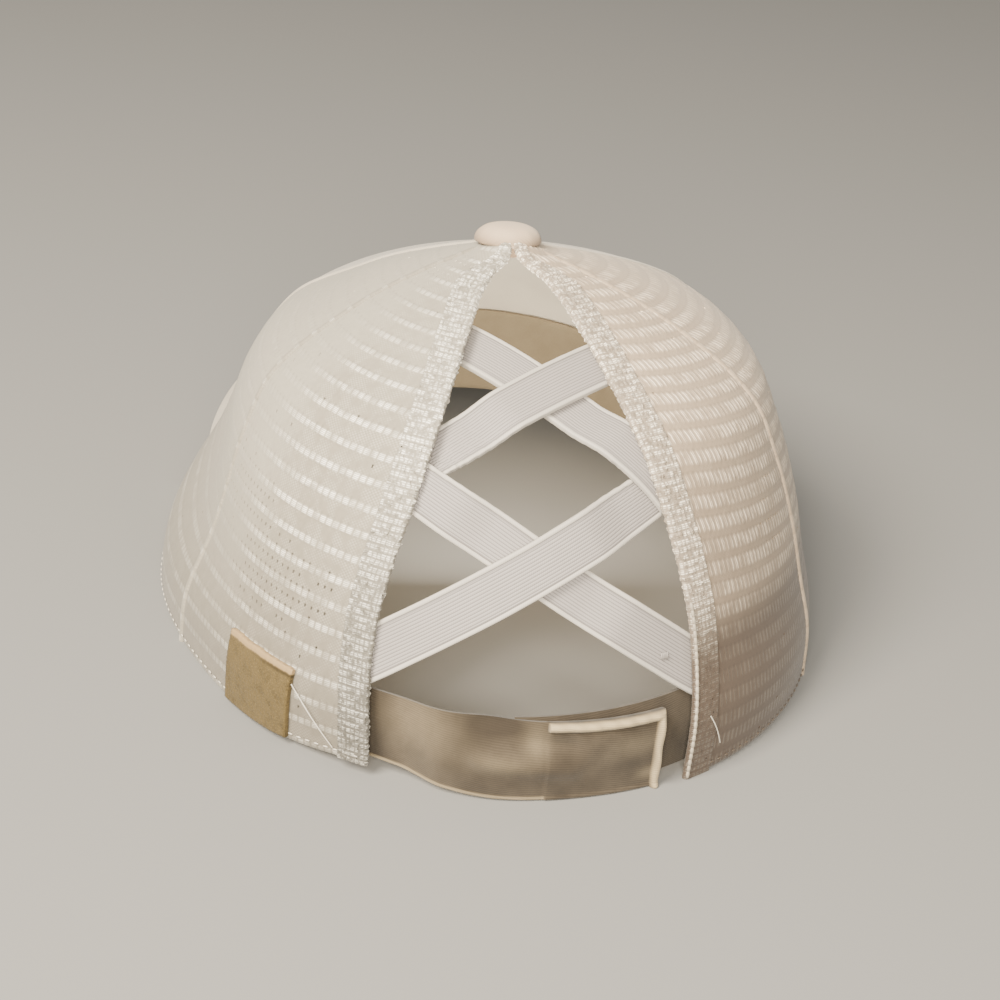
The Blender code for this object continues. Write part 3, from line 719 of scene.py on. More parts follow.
@dataclass(frozen=True)
class TapeFinish:
    """Brushed cotton tape: fine cross ribs, soft blotches, painted shade, and paler edges with painted
    highlights.
    """

    name: str = "cotton_tape"
    colour: Colour = (0.078, 0.061, 0.041)
    shade: Colour = (0.019, 0.0142, 0.0095)
    pale: Colour = (0.50, 0.395, 0.235)
    rib_mm: float = 0.55
    tilt: float = 0.08
    wobble_mm: float = 0.35
    wobble_per_metre: float = 300.0
    blotches_per_metre: float = 95.0
    shaded_most: float = 0.85
    pale_least: float = 0.75
    lit_shares: Tuple[float, float, float] = (0.35, 0.50, 0.30)
    rib_height: float = 0.6
    nap_height: float = 0.9
    nap_mm: Tuple[float, float] = (0.8, 0.18)
    depth: float = 0.00009
    roughness: float = 0.88

    def build(self) -> bpy.types.Material:
        """Make the material."""
        graph = ShaderGraph(self.name, sheen=0.15, specular=0.2)
        along, up = graph.cloth_uv()
        wobble = graph.noise(self.wobble_per_metre) * self.wobble_mm
        rib = (up + along * self.tilt + wobble).wave(self.rib_mm)
        nap = graph.fibres(along, up, *self.nap_mm)
        blotch = graph.noise(self.blotches_per_metre, 4.0, 0.6).ease(0.3, 0.72)
        lit = sum(pattern * share for pattern, share in zip((rib, blotch, nap), self.lit_shares))
        # Painted shade where the cloth is marked shaded; the pale mark blends in paler edges and painted
        # highlights.
        lit = lit * (1.0 - self.shaded_most * graph.attribute("shaded"))
        paled = graph.attribute("pale") * (self.pale_least + (1.0 - self.pale_least) * nap)
        colour = graph.blend(graph.blend(self.shade, self.colour, lit), self.pale, paled)
        height = rib * self.rib_height + nap * self.nap_height
        return graph.finish(colour, self.roughness, height, self.depth, strength=0.7)


@dataclass(frozen=True)
class SuedeFinish:
    """Bare suede: mottled nap, lighter scuffs, a pale folded edge, and painted shade on one edge and under
    the fold.
    """

    name: str = "tan_suede"
    colour: Colour = (0.088, 0.062, 0.0235)
    dark: Colour = (0.026, 0.018, 0.0065)
    light: Colour = (0.17, 0.122, 0.050)
    edge: Colour = (0.34, 0.235, 0.120)
    nap_per_metre: float = 2600.0
    blotches_per_metre: float = 330.0
    light_share: float = 0.55
    edge_share: float = 0.75
    depth: float = 0.00016
    roughness: float = 0.93

    def build(self) -> bpy.types.Material:
        """Make the material."""
        graph = ShaderGraph(self.name, sheen=0.05, specular=0.2)
        along, up = graph.cloth_uv()
        nap = graph.noise(self.nap_per_metre, 4.0, 0.7)
        blotch = graph.noise(self.blotches_per_metre, 4.0, 0.65)
        colour = graph.blend(self.dark, self.colour, (blotch * 0.6 + nap * 0.6).ease(0.28, 0.66))
        scuffs = graph.fibres(along, up, 0.5, 0.35).ease(0.5, 0.75)
        colour = graph.blend(colour, self.light, scuffs * self.light_share)
        colour = graph.blend(colour, self.edge, graph.attribute("pale") * self.edge_share)
        # Painted shade along the tag's right edge and in the groove under its folded top.
        colour = graph.blend(colour, self.dark, graph.attribute("worn"))
        return graph.finish(colour, self.roughness, nap + blotch * 0.8, self.depth, strength=0.9)


@dataclass(frozen=True)
class ThreadFinish:
    """Sewing thread: a tight twist with a soft shine."""

    name: str = "sewing_thread"
    colour: Colour = (0.50, 0.46, 0.39)
    twist_per_metre: float = 2600.0
    shade: float = 0.8
    depth: float = 0.00004
    roughness: float = 0.5

    def build(self) -> bpy.types.Material:
        """Make the material."""
        graph = ShaderGraph(self.name, sheen=0.1, specular=0.5)
        fuzz = graph.noise(self.twist_per_metre)
        colour = graph.blend(tuple(self.shade * value for value in self.colour), self.colour, fuzz)
        return graph.finish(colour, self.roughness, fuzz, self.depth, strength=0.6)


@dataclass(frozen=True)
class FloorFinish:
    """The plain pale floor."""

    name: str = "studio_floor"
    colour: Colour = (0.20, 0.198, 0.190)
    shade: float = 0.98
    blotches_per_metre: float = 3.0
    grain_per_metre: float = 800.0
    depth: float = 0.00002

    def build(self) -> bpy.types.Material:
        """Make the material."""
        graph = ShaderGraph(self.name, specular=0.2)
        shade = tuple(self.shade * value for value in self.colour)
        colour = graph.blend(shade, self.colour, graph.noise(self.blotches_per_metre))
        return graph.finish(colour, 0.9, graph.noise(self.grain_per_metre), self.depth, strength=0.1)


class Wardrobe:
    """Every finish of the cap, each made once."""

    def __init__(self) -> None:
        """Make the materials."""
        # beige: the sweatband seen through the right net, darkened with painted shade.
        beige = (0.054, 0.0355, 0.0225)
        self.net_left = NetFinish().build()
        # The right net and its doubled edge are warmer copies: painted warm bounce light on the shaded right
        # side.
        self.net_right = NetFinish("ladder_net_right", (1.0, 0.85, 0.65), (0.33, 0.252, 0.170), beige,
                                   RIGHT_NET).build()
        folded = dict(pattern=FOLDED_NET, painted_pit_shade=0.0, patches_per_metre=620.0, patch_floor=0.0,
                      mottle=0.55)
        # The doubled edges' warm colours bring painted shade towards the hem.
        self.fold_left = NetFinish("folded_net_left", (0.95, 0.91, 0.80), (0.235, 0.21, 0.165),
                                   (0.050, 0.045, 0.036), backed_and_shaded_dulls=0.60, **folded).build()
        self.fold_right = NetFinish("folded_net_right", (0.92, 0.84, 0.69), (0.235, 0.19, 0.14), beige,
                                    backed_and_shaded_dulls=0.93, **folded).build()
        self.twill = TwillFinish().build()
        self.elastic = ElasticFinish().build()
        self.tape = TapeFinish().build()
        # The button's pale colour is the painted highlight on its crest.
        self.button = TapeFinish("button_cloth", (0.24, 0.175, 0.118), (0.18, 0.13, 0.087),
                                 (0.52, 0.40, 0.275)).build()
        self.suede = SuedeFinish().build()
        self.thread = ThreadFinish().build()
        self.tack = ThreadFinish("tack_thread", (0.25, 0.225, 0.205)).build()
        self.braid = ThreadFinish("braid_thread", (0.34, 0.295, 0.225)).build()
        # A darker copy of the hem thread: painted shade for the right side.
        self.shaded_hem_thread = ThreadFinish("shaded_hem_thread", (0.085, 0.061, 0.041)).build()
        self.floor = FloorFinish().build()


class Slot(Enum):
    """The material slots."""

    NET = "net"
    EDGING = "edging"
    TWILL = "twill"
    ELASTIC = "elastic"
    TAPE = "tape"
    SUEDE = "suede"


def hand_over(piece: bpy.types.Object, material: bpy.types.Material, slot: Slot,
              *nodes: str) -> bpy.types.Object:
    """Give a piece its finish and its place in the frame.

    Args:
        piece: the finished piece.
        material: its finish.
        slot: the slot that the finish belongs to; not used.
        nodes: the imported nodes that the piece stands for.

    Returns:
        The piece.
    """
    piece.data.materials.clear()
    piece.data.materials.append(material)
    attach(piece, "root")
    if nodes:
        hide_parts(*nodes)
    LOG.info("%s: %d faces", piece.name, len(piece.data.polygons))
    return piece


def finish_mesh(name: str, maker: bmesh.types.BMesh, sharp: float = 50.0) -> bpy.types.Object:
    """Turn a bmesh into a named object with smooth faces, crisp edges and faces outwards."""
    bmesh.ops.recalc_face_normals(maker, faces=maker.faces)
    if maker.calc_volume(signed=True) < 0.0:
        bmesh.ops.reverse_faces(maker, faces=maker.faces)
    mesh = bpy.data.meshes.new(name)
    maker.to_mesh(mesh)
    maker.free()
    mesh.shade_smooth()
    mesh.set_sharp_from_angle(angle=math.radians(sharp))
    piece = bpy.data.objects.new(name, mesh)
    bpy.context.collection.objects.link(piece)
    return piece


def paint(piece: bpy.types.Object, name: str, values: Array) -> None:
    """Store one number for each vertex of a piece."""
    layer = piece.data.attributes.new(name, "FLOAT", "POINT")
    layer.data.foreach_set("value", np.asarray(values, dtype=np.float32))


def lay_uv(piece: bpy.types.Object, along_mm: Array, up_mm: Array) -> None:
    """Store the place along and up the cloth, in millimetres, for each vertex."""
    mesh = piece.data
    corners = np.empty(len(mesh.loops), dtype=np.int32)
    mesh.loops.foreach_get("vertex_index", corners)
    layer = mesh.uv_layers.new(name=UV_MAP)
    layer.data.foreach_set("uv", np.stack([along_mm[corners], up_mm[corners]], axis=1).ravel())


@dataclass
class ClothWall:
    """A wall of cloth made from a grid: an outer face, an inner face and the rims between.

    place takes column and row numbers and whether a vertex is on the inner face, and gives
    the points. keep says which cells of the grid stay.
    """

    name: str
    columns: int
    rows: int
    place: Callable[[Array, Array, Array], Array]
    uv: Callable[[Array, Array], Tuple[Array, Array]]
    keep: Optional[Array] = None
    paints: Dict[str, Callable[[Array, Array], Array]] = field(default_factory=dict)
    sharp: float = 50.0

    def build(self) -> bpy.types.Object:
        """Make the wall's object."""
        maker = bmesh.new()
        bmesh.ops.create_grid(maker, x_segments=self.columns, y_segments=self.rows, size=0.5)
        if self.keep is not None:
            cut = []
            for face in maker.faces:
                centre = face.calc_center_median()
                if not self.keep[int((centre.y + 0.5) * self.rows), int((centre.x + 0.5) * self.columns)]:
                    cut.append(face)
            bmesh.ops.delete(maker, geom=cut, context="FACES")
        doubled = bmesh.ops.extrude_face_region(maker, geom=maker.faces[:])
        inner_ones = {item for item in doubled["geom"] if isinstance(item, bmesh.types.BMVert)}
        spots = np.array([corner.co[:2] for corner in maker.verts])
        inner = np.array([corner in inner_ones for corner in maker.verts])
        column = np.rint((spots[:, 0] + 0.5) * self.columns).astype(int)
        row = np.rint((spots[:, 1] + 0.5) * self.rows).astype(int)
        for corner, point in zip(maker.verts, self.place(column, row, inner)):
            corner.co = point
        piece = finish_mesh(self.name, maker, self.sharp)
        lay_uv(piece, *self.uv(column, row))
        for name, values in self.paints.items():
            paint(piece, name, values(column, row))
        return piece


def plain_wall(name: str, columns: int, rows: int, place: Callable[[Array, Array, Array], Array],
               length: float, height: float, paints: Optional[Dict] = None,
               sharp: float = 50.0) -> bpy.types.Object:
    """Make a whole wall of cloth from places given as shares of its length and height.

    Args:
        name: the piece's name.
        columns: how many cells the wall has along it.
        rows: how many cells it has up it.
        place: gives the points for shares along and up, and whether each is on the inner face.
        length: the cloth's length in metres, for its pattern.
        height: the cloth's height in metres, for its pattern.
        paints: a number, or a function of both shares, for each painted value.
        sharp: the angle from which an edge is crisp, in degrees.

    Returns:
        The wall's object.
    """
    def placed(column: Array, row: Array, inner: Array) -> Array:
        return place(column / columns, row / rows, inner)

    def uv(column: Array, row: Array) -> Tuple[Array, Array]:
        return column / columns * length * MM, row / rows * height * MM

    def painted(value) -> Callable[[Array, Array], Array]:
        if callable(value):
            return lambda column, row: value(column / columns, row / rows)
        return lambda column, row: np.full(len(column), value)

    paints = {key: painted(value) for key, value in (paints or {}).items()}
    return ClothWall(name, columns, rows, placed, uv, None, paints, sharp).build()


@dataclass(kw_only=True)
class NetSheet:
    """Knitted net laid over part of the crown, with real holes and raised floats."""

    name: str
    crown: Crown
    seed: int
    pattern: NetPattern = LEFT_NET

    def measure(self, climbs: Array) -> Array:
        """Return the length of each row of cloth."""
        raise NotImplementedError

    def points(self, travel: Array, row: Array, climb: Array, lift: Array) -> Array:
        """Return points at a length along a row and a lift off the cloth's middle face."""
        raise NotImplementedError

    def backing_and_shade(self, travel: Array, row: Array, climb: Array) -> Array:
        """Return how much the net turns to its warm colour, from 0 to 1."""
        return np.zeros(len(travel))

    def muting(self, travel: Array, row: Array) -> Array:
        """Return how much the painted sheen on the bars is dimmed, from 0 to 1."""
        return np.zeros(len(travel))

    def openness(self, travel: Array, row: Array, climb: Array) -> Array:
        """Return the share of the holes that stand open, from 0 to 1."""
        return np.zeros(len(travel))

    def _row_lines(self) -> Tuple[Array, Array, Array]:
        """Return the climbs of the row lines, their relief, and which rows hold holes."""
        pattern, wall = self.pattern, self.crown.wall_length
        high = self.crown.top_climb * wall
        periods = int(math.ceil(wall / pattern.row_pitch))
        lines = [((k + share) * pattern.row_pitch, relief, index) for k in range(periods)
                 for index, (share, relief) in enumerate(zip(pattern.row_lines, pattern.row_relief))]
        inside = [line for line in lines if MERGE < line[0] < high - MERGE]
        lines = [(0.0, 0.0, -1)] + inside + [(high, 0.0, -1)]
        climbs = np.array([line[0] for line in lines]) / wall
        relief = np.array([line[1] for line in lines])
        return climbs, relief, np.array([line[2] in pattern.hole_rows for line in lines[:-1]])

    def build(self) -> bpy.types.Object:
        """Make the net's object."""
        pattern = self.pattern
        climbs, row_relief, is_hole_row = self._row_lines()
        lengths = self.measure(climbs)
        half = int(math.ceil(lengths.max() / 2.0 / pattern.bar_pitch)) + 1
        shares = np.array(pattern.column_lines)
        offsets = ((np.arange(-half, half)[:, None] + shares[None, :]) * pattern.bar_pitch).ravel()
        column_relief = np.tile(pattern.column_relief, 2 * half)
        is_hole_column = np.tile(np.arange(len(shares)) == 0, 2 * half)[:-1]
        travel = lengths[:, None] / 2.0 + offsets[None, :]
        first = np.abs(travel).argmin(axis=1)
        last = np.maximum(np.abs(travel - lengths[:, None]).argmin(axis=1), first + 1)
        cells = np.arange(len(offsets) - 1)[None, :]
        begins = np.maximum(first[:-1], first[1:])[:, None]
        ends = np.minimum(last[:-1], last[1:])[:, None]
        is_rim = (cells <= begins) | (cells >= ends - 1)
        keep = (cells >= begins) & (cells < ends)
        each_row = np.arange(len(lengths))
        travel[each_row, first] = 0.0
        travel[each_row, last] = lengths
        rng = np.random.default_rng(self.seed)
        holes = is_hole_row[:, None] & is_hole_column[None, :] & ~is_rim & keep
        hole_row, hole_column = np.nonzero(holes)
        is_open = rng.uniform(size=len(hole_row)) < self.openness(
            travel[hole_row, hole_column], hole_row, climbs[hole_row])
        keep[hole_row[is_open], hole_column[is_open]] = False
        shake = rng.normal(0.0, pattern.jitter, size=travel.shape)
        lumps = 1.0 + pattern.uneven * rng.uniform(-1.0, 1.0, size=travel.shape)
        relief = row_relief[:, None] * column_relief[None, :] * lumps * pattern.relief + shake
        drift = rng.normal(0.0, pattern.drift, size=travel.shape)
        drift[each_row, first] = drift[each_row, last] = 0.0

        def place(column: Array, row: Array, inner: Array) -> Array:
            spot, climb = travel[row, column] + drift[row, column], climbs[row]
            raised = relief[row, column] * (1.0 - pattern.backed_flattens * self.backing_and_shade(spot, row, climb))
            raised = raised * (1.0 - pattern.muted_flattens * self.muting(spot, row))
            return self.points(spot, row, climb, np.where(inner, -pattern.wall, raised))

        def uv(column: Array, row: Array) -> Tuple[Array, Array]:
            return offsets[column] * MM, climbs[row] * self.crown.wall_length * MM

        def backed_and_shaded(column: Array, row: Array) -> Array:
            return self.backing_and_shade(travel[row, column], row, climbs[row])

        def muted(column: Array, row: Array) -> Array:
            return self.muting(travel[row, column], row)

        return ClothWall(self.name, len(offsets) - 1, len(climbs) - 1, place, uv, keep,
                         {"backed_and_shaded": backed_and_shaded, "muted": muted}).build()


@dataclass(kw_only=True)
class NetPanel(NetSheet):
    """A net panel between two edges of the crown.

    Its foot is where the sweatband shows through, with painted shade that darkens the net
    towards the hem; a fainter trace of painted shade reaches higher up. Its muted part lies
    aside of an angle and above a climb, where the bars catch less light and their painted
    sheen is dimmed.
    """

    start: Angle
    end: Angle
    zones: Tuple[BumpRow, ...] = ()
    open_share: float = 0.015
    row_fall: float = 0.0
    fall_start: float = math.radians(32.0)
    muted_angle: float = math.radians(56.0)
    muted_spread: float = math.radians(16.0)
    muted_most: float = 0.90
    muted_low: float = 0.45
    low_climb: float = 0.10
    low_ease: float = 0.15
    muted_above: float = 0.50
    above_ease: float = 0.20
    muted_high: float = 0.45
    backed_climb: float = 0.0
    backed_ease: float = 0.10
    backed_most: float = 1.0
    painted_shade_trace: float = 0.0
    painted_shade_fade: float = 0.40
    hem_roll: float = 0.0012
    hem_tuck: float = 0.0005

    def measure(self, climbs: Array) -> Array:
        """Return the length of each row of cloth."""
        self.row_climbs = climbs
        self.angles, self.travelled = self.crown.row_lengths(self.start, self.end, climbs)
        return self.travelled[:, -1]

    def _angle(self, travel: Array, row: Array) -> Array:
        """Return the angle at a length along each row."""
        table = self.travelled
        last = table.shape[1] - 1
        near = np.clip((travel / table[row, -1] * last).astype(int), 0, last - 1)
        for _ in range(3):
            near = np.where(travel < table[row, near], near - 1, near)
            near = np.where(travel > table[row, np.minimum(near + 1, last)], near + 1, near)
            near = np.clip(near, 0, last - 1)
        low, high = table[row, near], table[row, near + 1]
        return mix(self.angles[row, near], self.angles[row, near + 1], (travel - low) / (high - low))

    def points(self, travel: Array, row: Array, climb: Array, lift: Array) -> Array:
        """Return points at a length along a row and a lift off the cloth's middle face."""
        rise = climb * self.crown.wall_length
        curl = turned_in(rise, self.hem_roll, self.hem_tuck)
        angle = self._angle(travel, row)
        return self.crown.gathered(angle, self._fallen(angle, climb), curl - lift)

    def _fallen(self, angle: Array, climb: Array) -> Array:
        """Return the climb of a row that falls away from the opening."""
        past = np.maximum(np.abs(angle) - self.fall_start, 0.0)
        return climb - self.row_fall * past * 4.0 * climb * (1.0 - climb)

    def backing_and_shade(self, travel: Array, row: Array, climb: Array) -> Array:
        """Return how much the sweatband shows through, with painted shade, from 0 to 1."""
        if not self.backed_climb:
            return np.zeros(len(travel))
        fallen = self._fallen(self._angle(travel, row), climb)
        past = fallen - self.backed_climb
        # A fainter painted shade that reaches further up the panel.
        trace = self.painted_shade_trace * (1.0 - smooth_step(past / self.painted_shade_fade))
        return np.maximum(self.backed_most * (1.0 - smooth_step(past / self.backed_ease + 0.5)), trace)

    def muting(self, travel: Array, row: Array) -> Array:
        """Return how much the painted sheen on the bars is dimmed, from 0 to 1."""
        climb = self.row_climbs[row]
        past = np.abs(self._angle(travel, row)) - self.muted_angle
        low = 1.0 - smooth_step((climb - self.low_climb) / self.low_ease)
        aside = self.muted_most * smooth_step(past / self.muted_spread + 0.5) * (1.0 - self.muted_low * low)
        above = self.muted_high * smooth_step((climb - self.muted_above) / self.above_ease)
        return 1.0 - (1.0 - aside) * (1.0 - above)

    def openness(self, travel: Array, row: Array, climb: Array) -> Array:
        """Return the share of the holes that stand open, from 0 to 1."""
        return self.open_share + bumps(self.zones, np.degrees(self._angle(travel, row)), climb)


@dataclass(kw_only=True)
class NetFold(NetSheet):
    """The net folded back inside along one side of the opening."""

    side: int
    proud: float = 0.0003
    radius: float = 0.0008
    hem_grey: float = 0.85
    grey_from: float = 0.05
    grey_reach: float = 0.50
    pattern: NetPattern = FOLDED_NET

    def backing_and_shade(self, travel: Array, row: Array, climb: Array) -> Array:
        """Return how much the doubled cloth turns to its warm colour, with painted shade: most at the hem."""
        return self.hem_grey * (1.0 - smooth_step((climb - self.grey_from) / self.grey_reach))

    def measure(self, climbs: Array) -> Array:
        """Return the length of each row of cloth."""
        self.widths = self.crown.fold_at(climbs)
        return 2.0 * (self.widths - self.radius) + math.pi * self.radius

    def points(self, travel: Array, row: Array, climb: Array, lift: Array) -> Array:
        """Return points at a length along a row and a lift off the cloth's middle face."""
        flat = self.widths[row] - self.radius
        turned = np.clip((travel - flat) / self.radius, 0.0, math.pi)
        over = travel - flat - math.pi * self.radius
        reach = self.radius + lift
        beyond = self.radius - reach * np.sin(turned)
        beyond = beyond + np.maximum(flat - travel, 0.0) + np.maximum(over, 0.0)
        depth = self.radius - self.proud - reach * np.cos(turned)
        return self.crown.gathered(self.crown.past_opening(self.side, climb, beyond), climb, depth)


@dataclass(frozen=True)
class Stitch:
    """The thread of a line of stitches."""

    length: float = 0.0016
    pitch: float = 0.0026
    radius: float = 0.00018
    flatness: float = 1.15
    sides: int = 6
    rings: int = 5


class StitchLine:
    """Rows of short stitches that lie along paths, all in one piece."""

    def __init__(self, stitch: Stitch = Stitch()) -> None:
        """Start an empty piece."""
        self.stitch = stitch
        self.maker = bmesh.new()

    def sew(self, points: Array, normals: Array) -> None:
        """Add stitches along a path.

        Args:
            points: points of the path, at most a few millimetres apart.
            normals: the cloth's outward direction at each.
        """
        steps = np.linalg.norm(np.diff(points, axis=0), axis=1)
        travelled = np.concatenate([[0.0], np.cumsum(steps)])
        count = max(1, int(travelled[-1] / self.stitch.pitch))
        pitch = travelled[-1] / count
        for k in range(count):
            middle = (k + 0.5) * pitch
            spot, ahead, behind, normal = (
                Vector([float(np.interp(at, travelled, table[:, axis])) for axis in range(3)])
                for at, table in ((middle, points), (middle + pitch / 4.0, points),
                                  (middle - pitch / 4.0, points), (middle, normals)))
            self.add(spot, ahead - behind, normal)

    def add(self, spot: Vector, along: Vector, normal: Vector) -> None:
        """Add one stitch."""
        along = along.normalized()
        across = normal.cross(along).normalized()
        up = along.cross(across)
        turn = Matrix((along, across, up)).transposed().to_4x4()
        stitch = self.stitch
        size = Matrix.Diagonal((stitch.length / 2.0, stitch.radius * stitch.flatness, stitch.radius, 1.0))
        bmesh.ops.create_uvsphere(self.maker, u_segments=stitch.sides, v_segments=stitch.rings,
                                  radius=1.0, matrix=Matrix.Translation(spot) @ turn @ size)

    def build(self, name: str) -> bpy.types.Object:
        """Make the piece."""
        piece = finish_mesh(name, self.maker, sharp=80.0)
        count = len(piece.data.vertices)
        lay_uv(piece, np.zeros(count), np.zeros(count))
        return piece


@dataclass
class CapPart:
    """What every part of the cap is made from: the crown's form and the finishes."""

    crown: Crown
    wardrobe: Wardrobe


@dataclass
class NetPanels(CapPart):
    """The four net panels, the doubled edges and their seams.

    The zones, in degrees and climb, are where more of the holes stand open.
    """

    lap: float = 0.0004
    seam_width: float = 0.0019
    seam_height: float = 0.00055
    seam_depth: float = 0.0003
    seam_grey: float = 0.22
    seam_muted: float = 0.5
    seam_columns: int = 8
    seam_rows: int = 150
    left_zones: Tuple[BumpRow, ...] = (
        BumpRow(50, 0.235, 9, 0.050, 1.6),
        BumpRow(63, 0.320, 7, 0.040, 1.4),
        BumpRow(58, 0.860, 14, 0.045, 1.5),
    )
    right_zones: Tuple[BumpRow, ...] = (
        BumpRow(-54, 0.360, 5, 0.045, 1.2),
    )

    def build(self) -> None:
        """Make both halves of the net."""
        crown, wardrobe = self.crown, self.wardrobe
        self.half(1, "left", crown.seam_left, wardrobe.net_left, wardrobe.fold_left,
                  dict(pattern=LEFT_NET, zones=self.left_zones, backed_climb=0.22, backed_ease=0.44,
                       backed_most=0.68), {})
        self.half(-1, "right", crown.seam_right, wardrobe.net_right, wardrobe.fold_right,
                  dict(pattern=RIGHT_NET, zones=self.right_zones, row_fall=0.085, backed_climb=0.262,
                       backed_ease=0.15, painted_shade_trace=0.50, muted_angle=math.radians(80.0),
                       muted_most=0.6, muted_high=0.0),
                  dict(pattern=BACKED_FOLD, hem_grey=1.0, grey_from=0.16, grey_reach=0.16))

    def half(self, side: int, word: str, seam: float, net: bpy.types.Material, edge: bpy.types.Material,
             panel: Dict, fold: Dict) -> None:
        """Make the panels, the doubled edge and the seams of one side.

        Args:
            side: +1 for the wearer's left, -1 for the right.
            word: the side's word in the names.
            seam: the angle of the seam between the two panels.
            net: the panels' finish.
            edge: the doubled edge's finish.
            panel: settings of both panels.
            fold: settings of the doubled edge.
        """
        crown = self.crown

        def opening(climb: Array) -> Array:
            return crown.past_opening(side, climb, crown.fold_at(climb) - self.lap)

        def back_seam(climb: Array) -> Array:
            return np.full(len(climb), seam)

        def front_seam(climb: Array) -> Array:
            return np.full(len(climb), side * crown.seam_front)

        back = NetPanel(name="net_back_" + word, crown=crown, seed=SEED + side,
                        start=opening, end=back_seam, **panel)
        hand_over(back.build(), net, Slot.NET, "back_panel_" + word)
        flank = NetPanel(name="net_side_" + word, crown=crown, seed=SEED + 2 * side,
                         start=back_seam, end=front_seam, **panel)
        hand_over(flank.build(), net, Slot.NET, "side_panel_" + word)
        doubled = NetFold(name="net_fold_" + word, crown=crown, seed=SEED + 3 * side, side=side, **fold)
        hand_over(doubled.build(), edge, Slot.EDGING, "opening_fold_" + word)
        self.seam("seam_back_" + word, seam, net)
        self.seam("seam_front_" + word, side * crown.seam_front, self.wardrobe.twill)

    def seam(self, name: str, angle: float, material: bpy.types.Material) -> None:
        """Make the low ridge where two panels are sewn together."""
        crown = self.crown

        def place(u: Array, v: Array, inner: Array) -> Array:
            climb = v * crown.top_climb
            arch = half_round(u, 1.0) * self.seam_height
            turn = crown.turn_for((u - 0.5) * self.seam_width, np.full(len(climb), angle), climb)
            return crown.point(angle + turn, climb, np.where(inner, self.seam_depth, -arch))

        piece = plain_wall(name, self.seam_columns, self.seam_rows, place, self.seam_width,
                           crown.top_climb * crown.wall_length,
                           {"backed_and_shaded": self.seam_grey, "muted": self.seam_muted})
        hand_over(piece, material, Slot.EDGING)


@dataclass
class FrontPanels(CapPart):
    """The two twill panels behind the peak."""

    wall: float = 0.0016
    cloth_length: float = 0.095
    columns: int = 70
    rows: int = 110

    def build(self) -> None:
        """Make both panels."""
        crown = self.crown
        for side, word in ((1, "left"), (-1, "right")):
            def place(u: Array, v: Array, inner: Array, side: int = side) -> Array:
                angle = side * mix(crown.seam_front, crown.front_middle, u)
                return crown.point(angle, v * crown.top_climb, np.where(inner, self.wall, 0.0))

            piece = plain_wall("twill_front_" + word, self.columns, self.rows, place,
                               side * self.cloth_length, crown.top_climb * crown.wall_length)
            hand_over(piece, self.wardrobe.twill, Slot.TWILL, "front_panel_" + word)


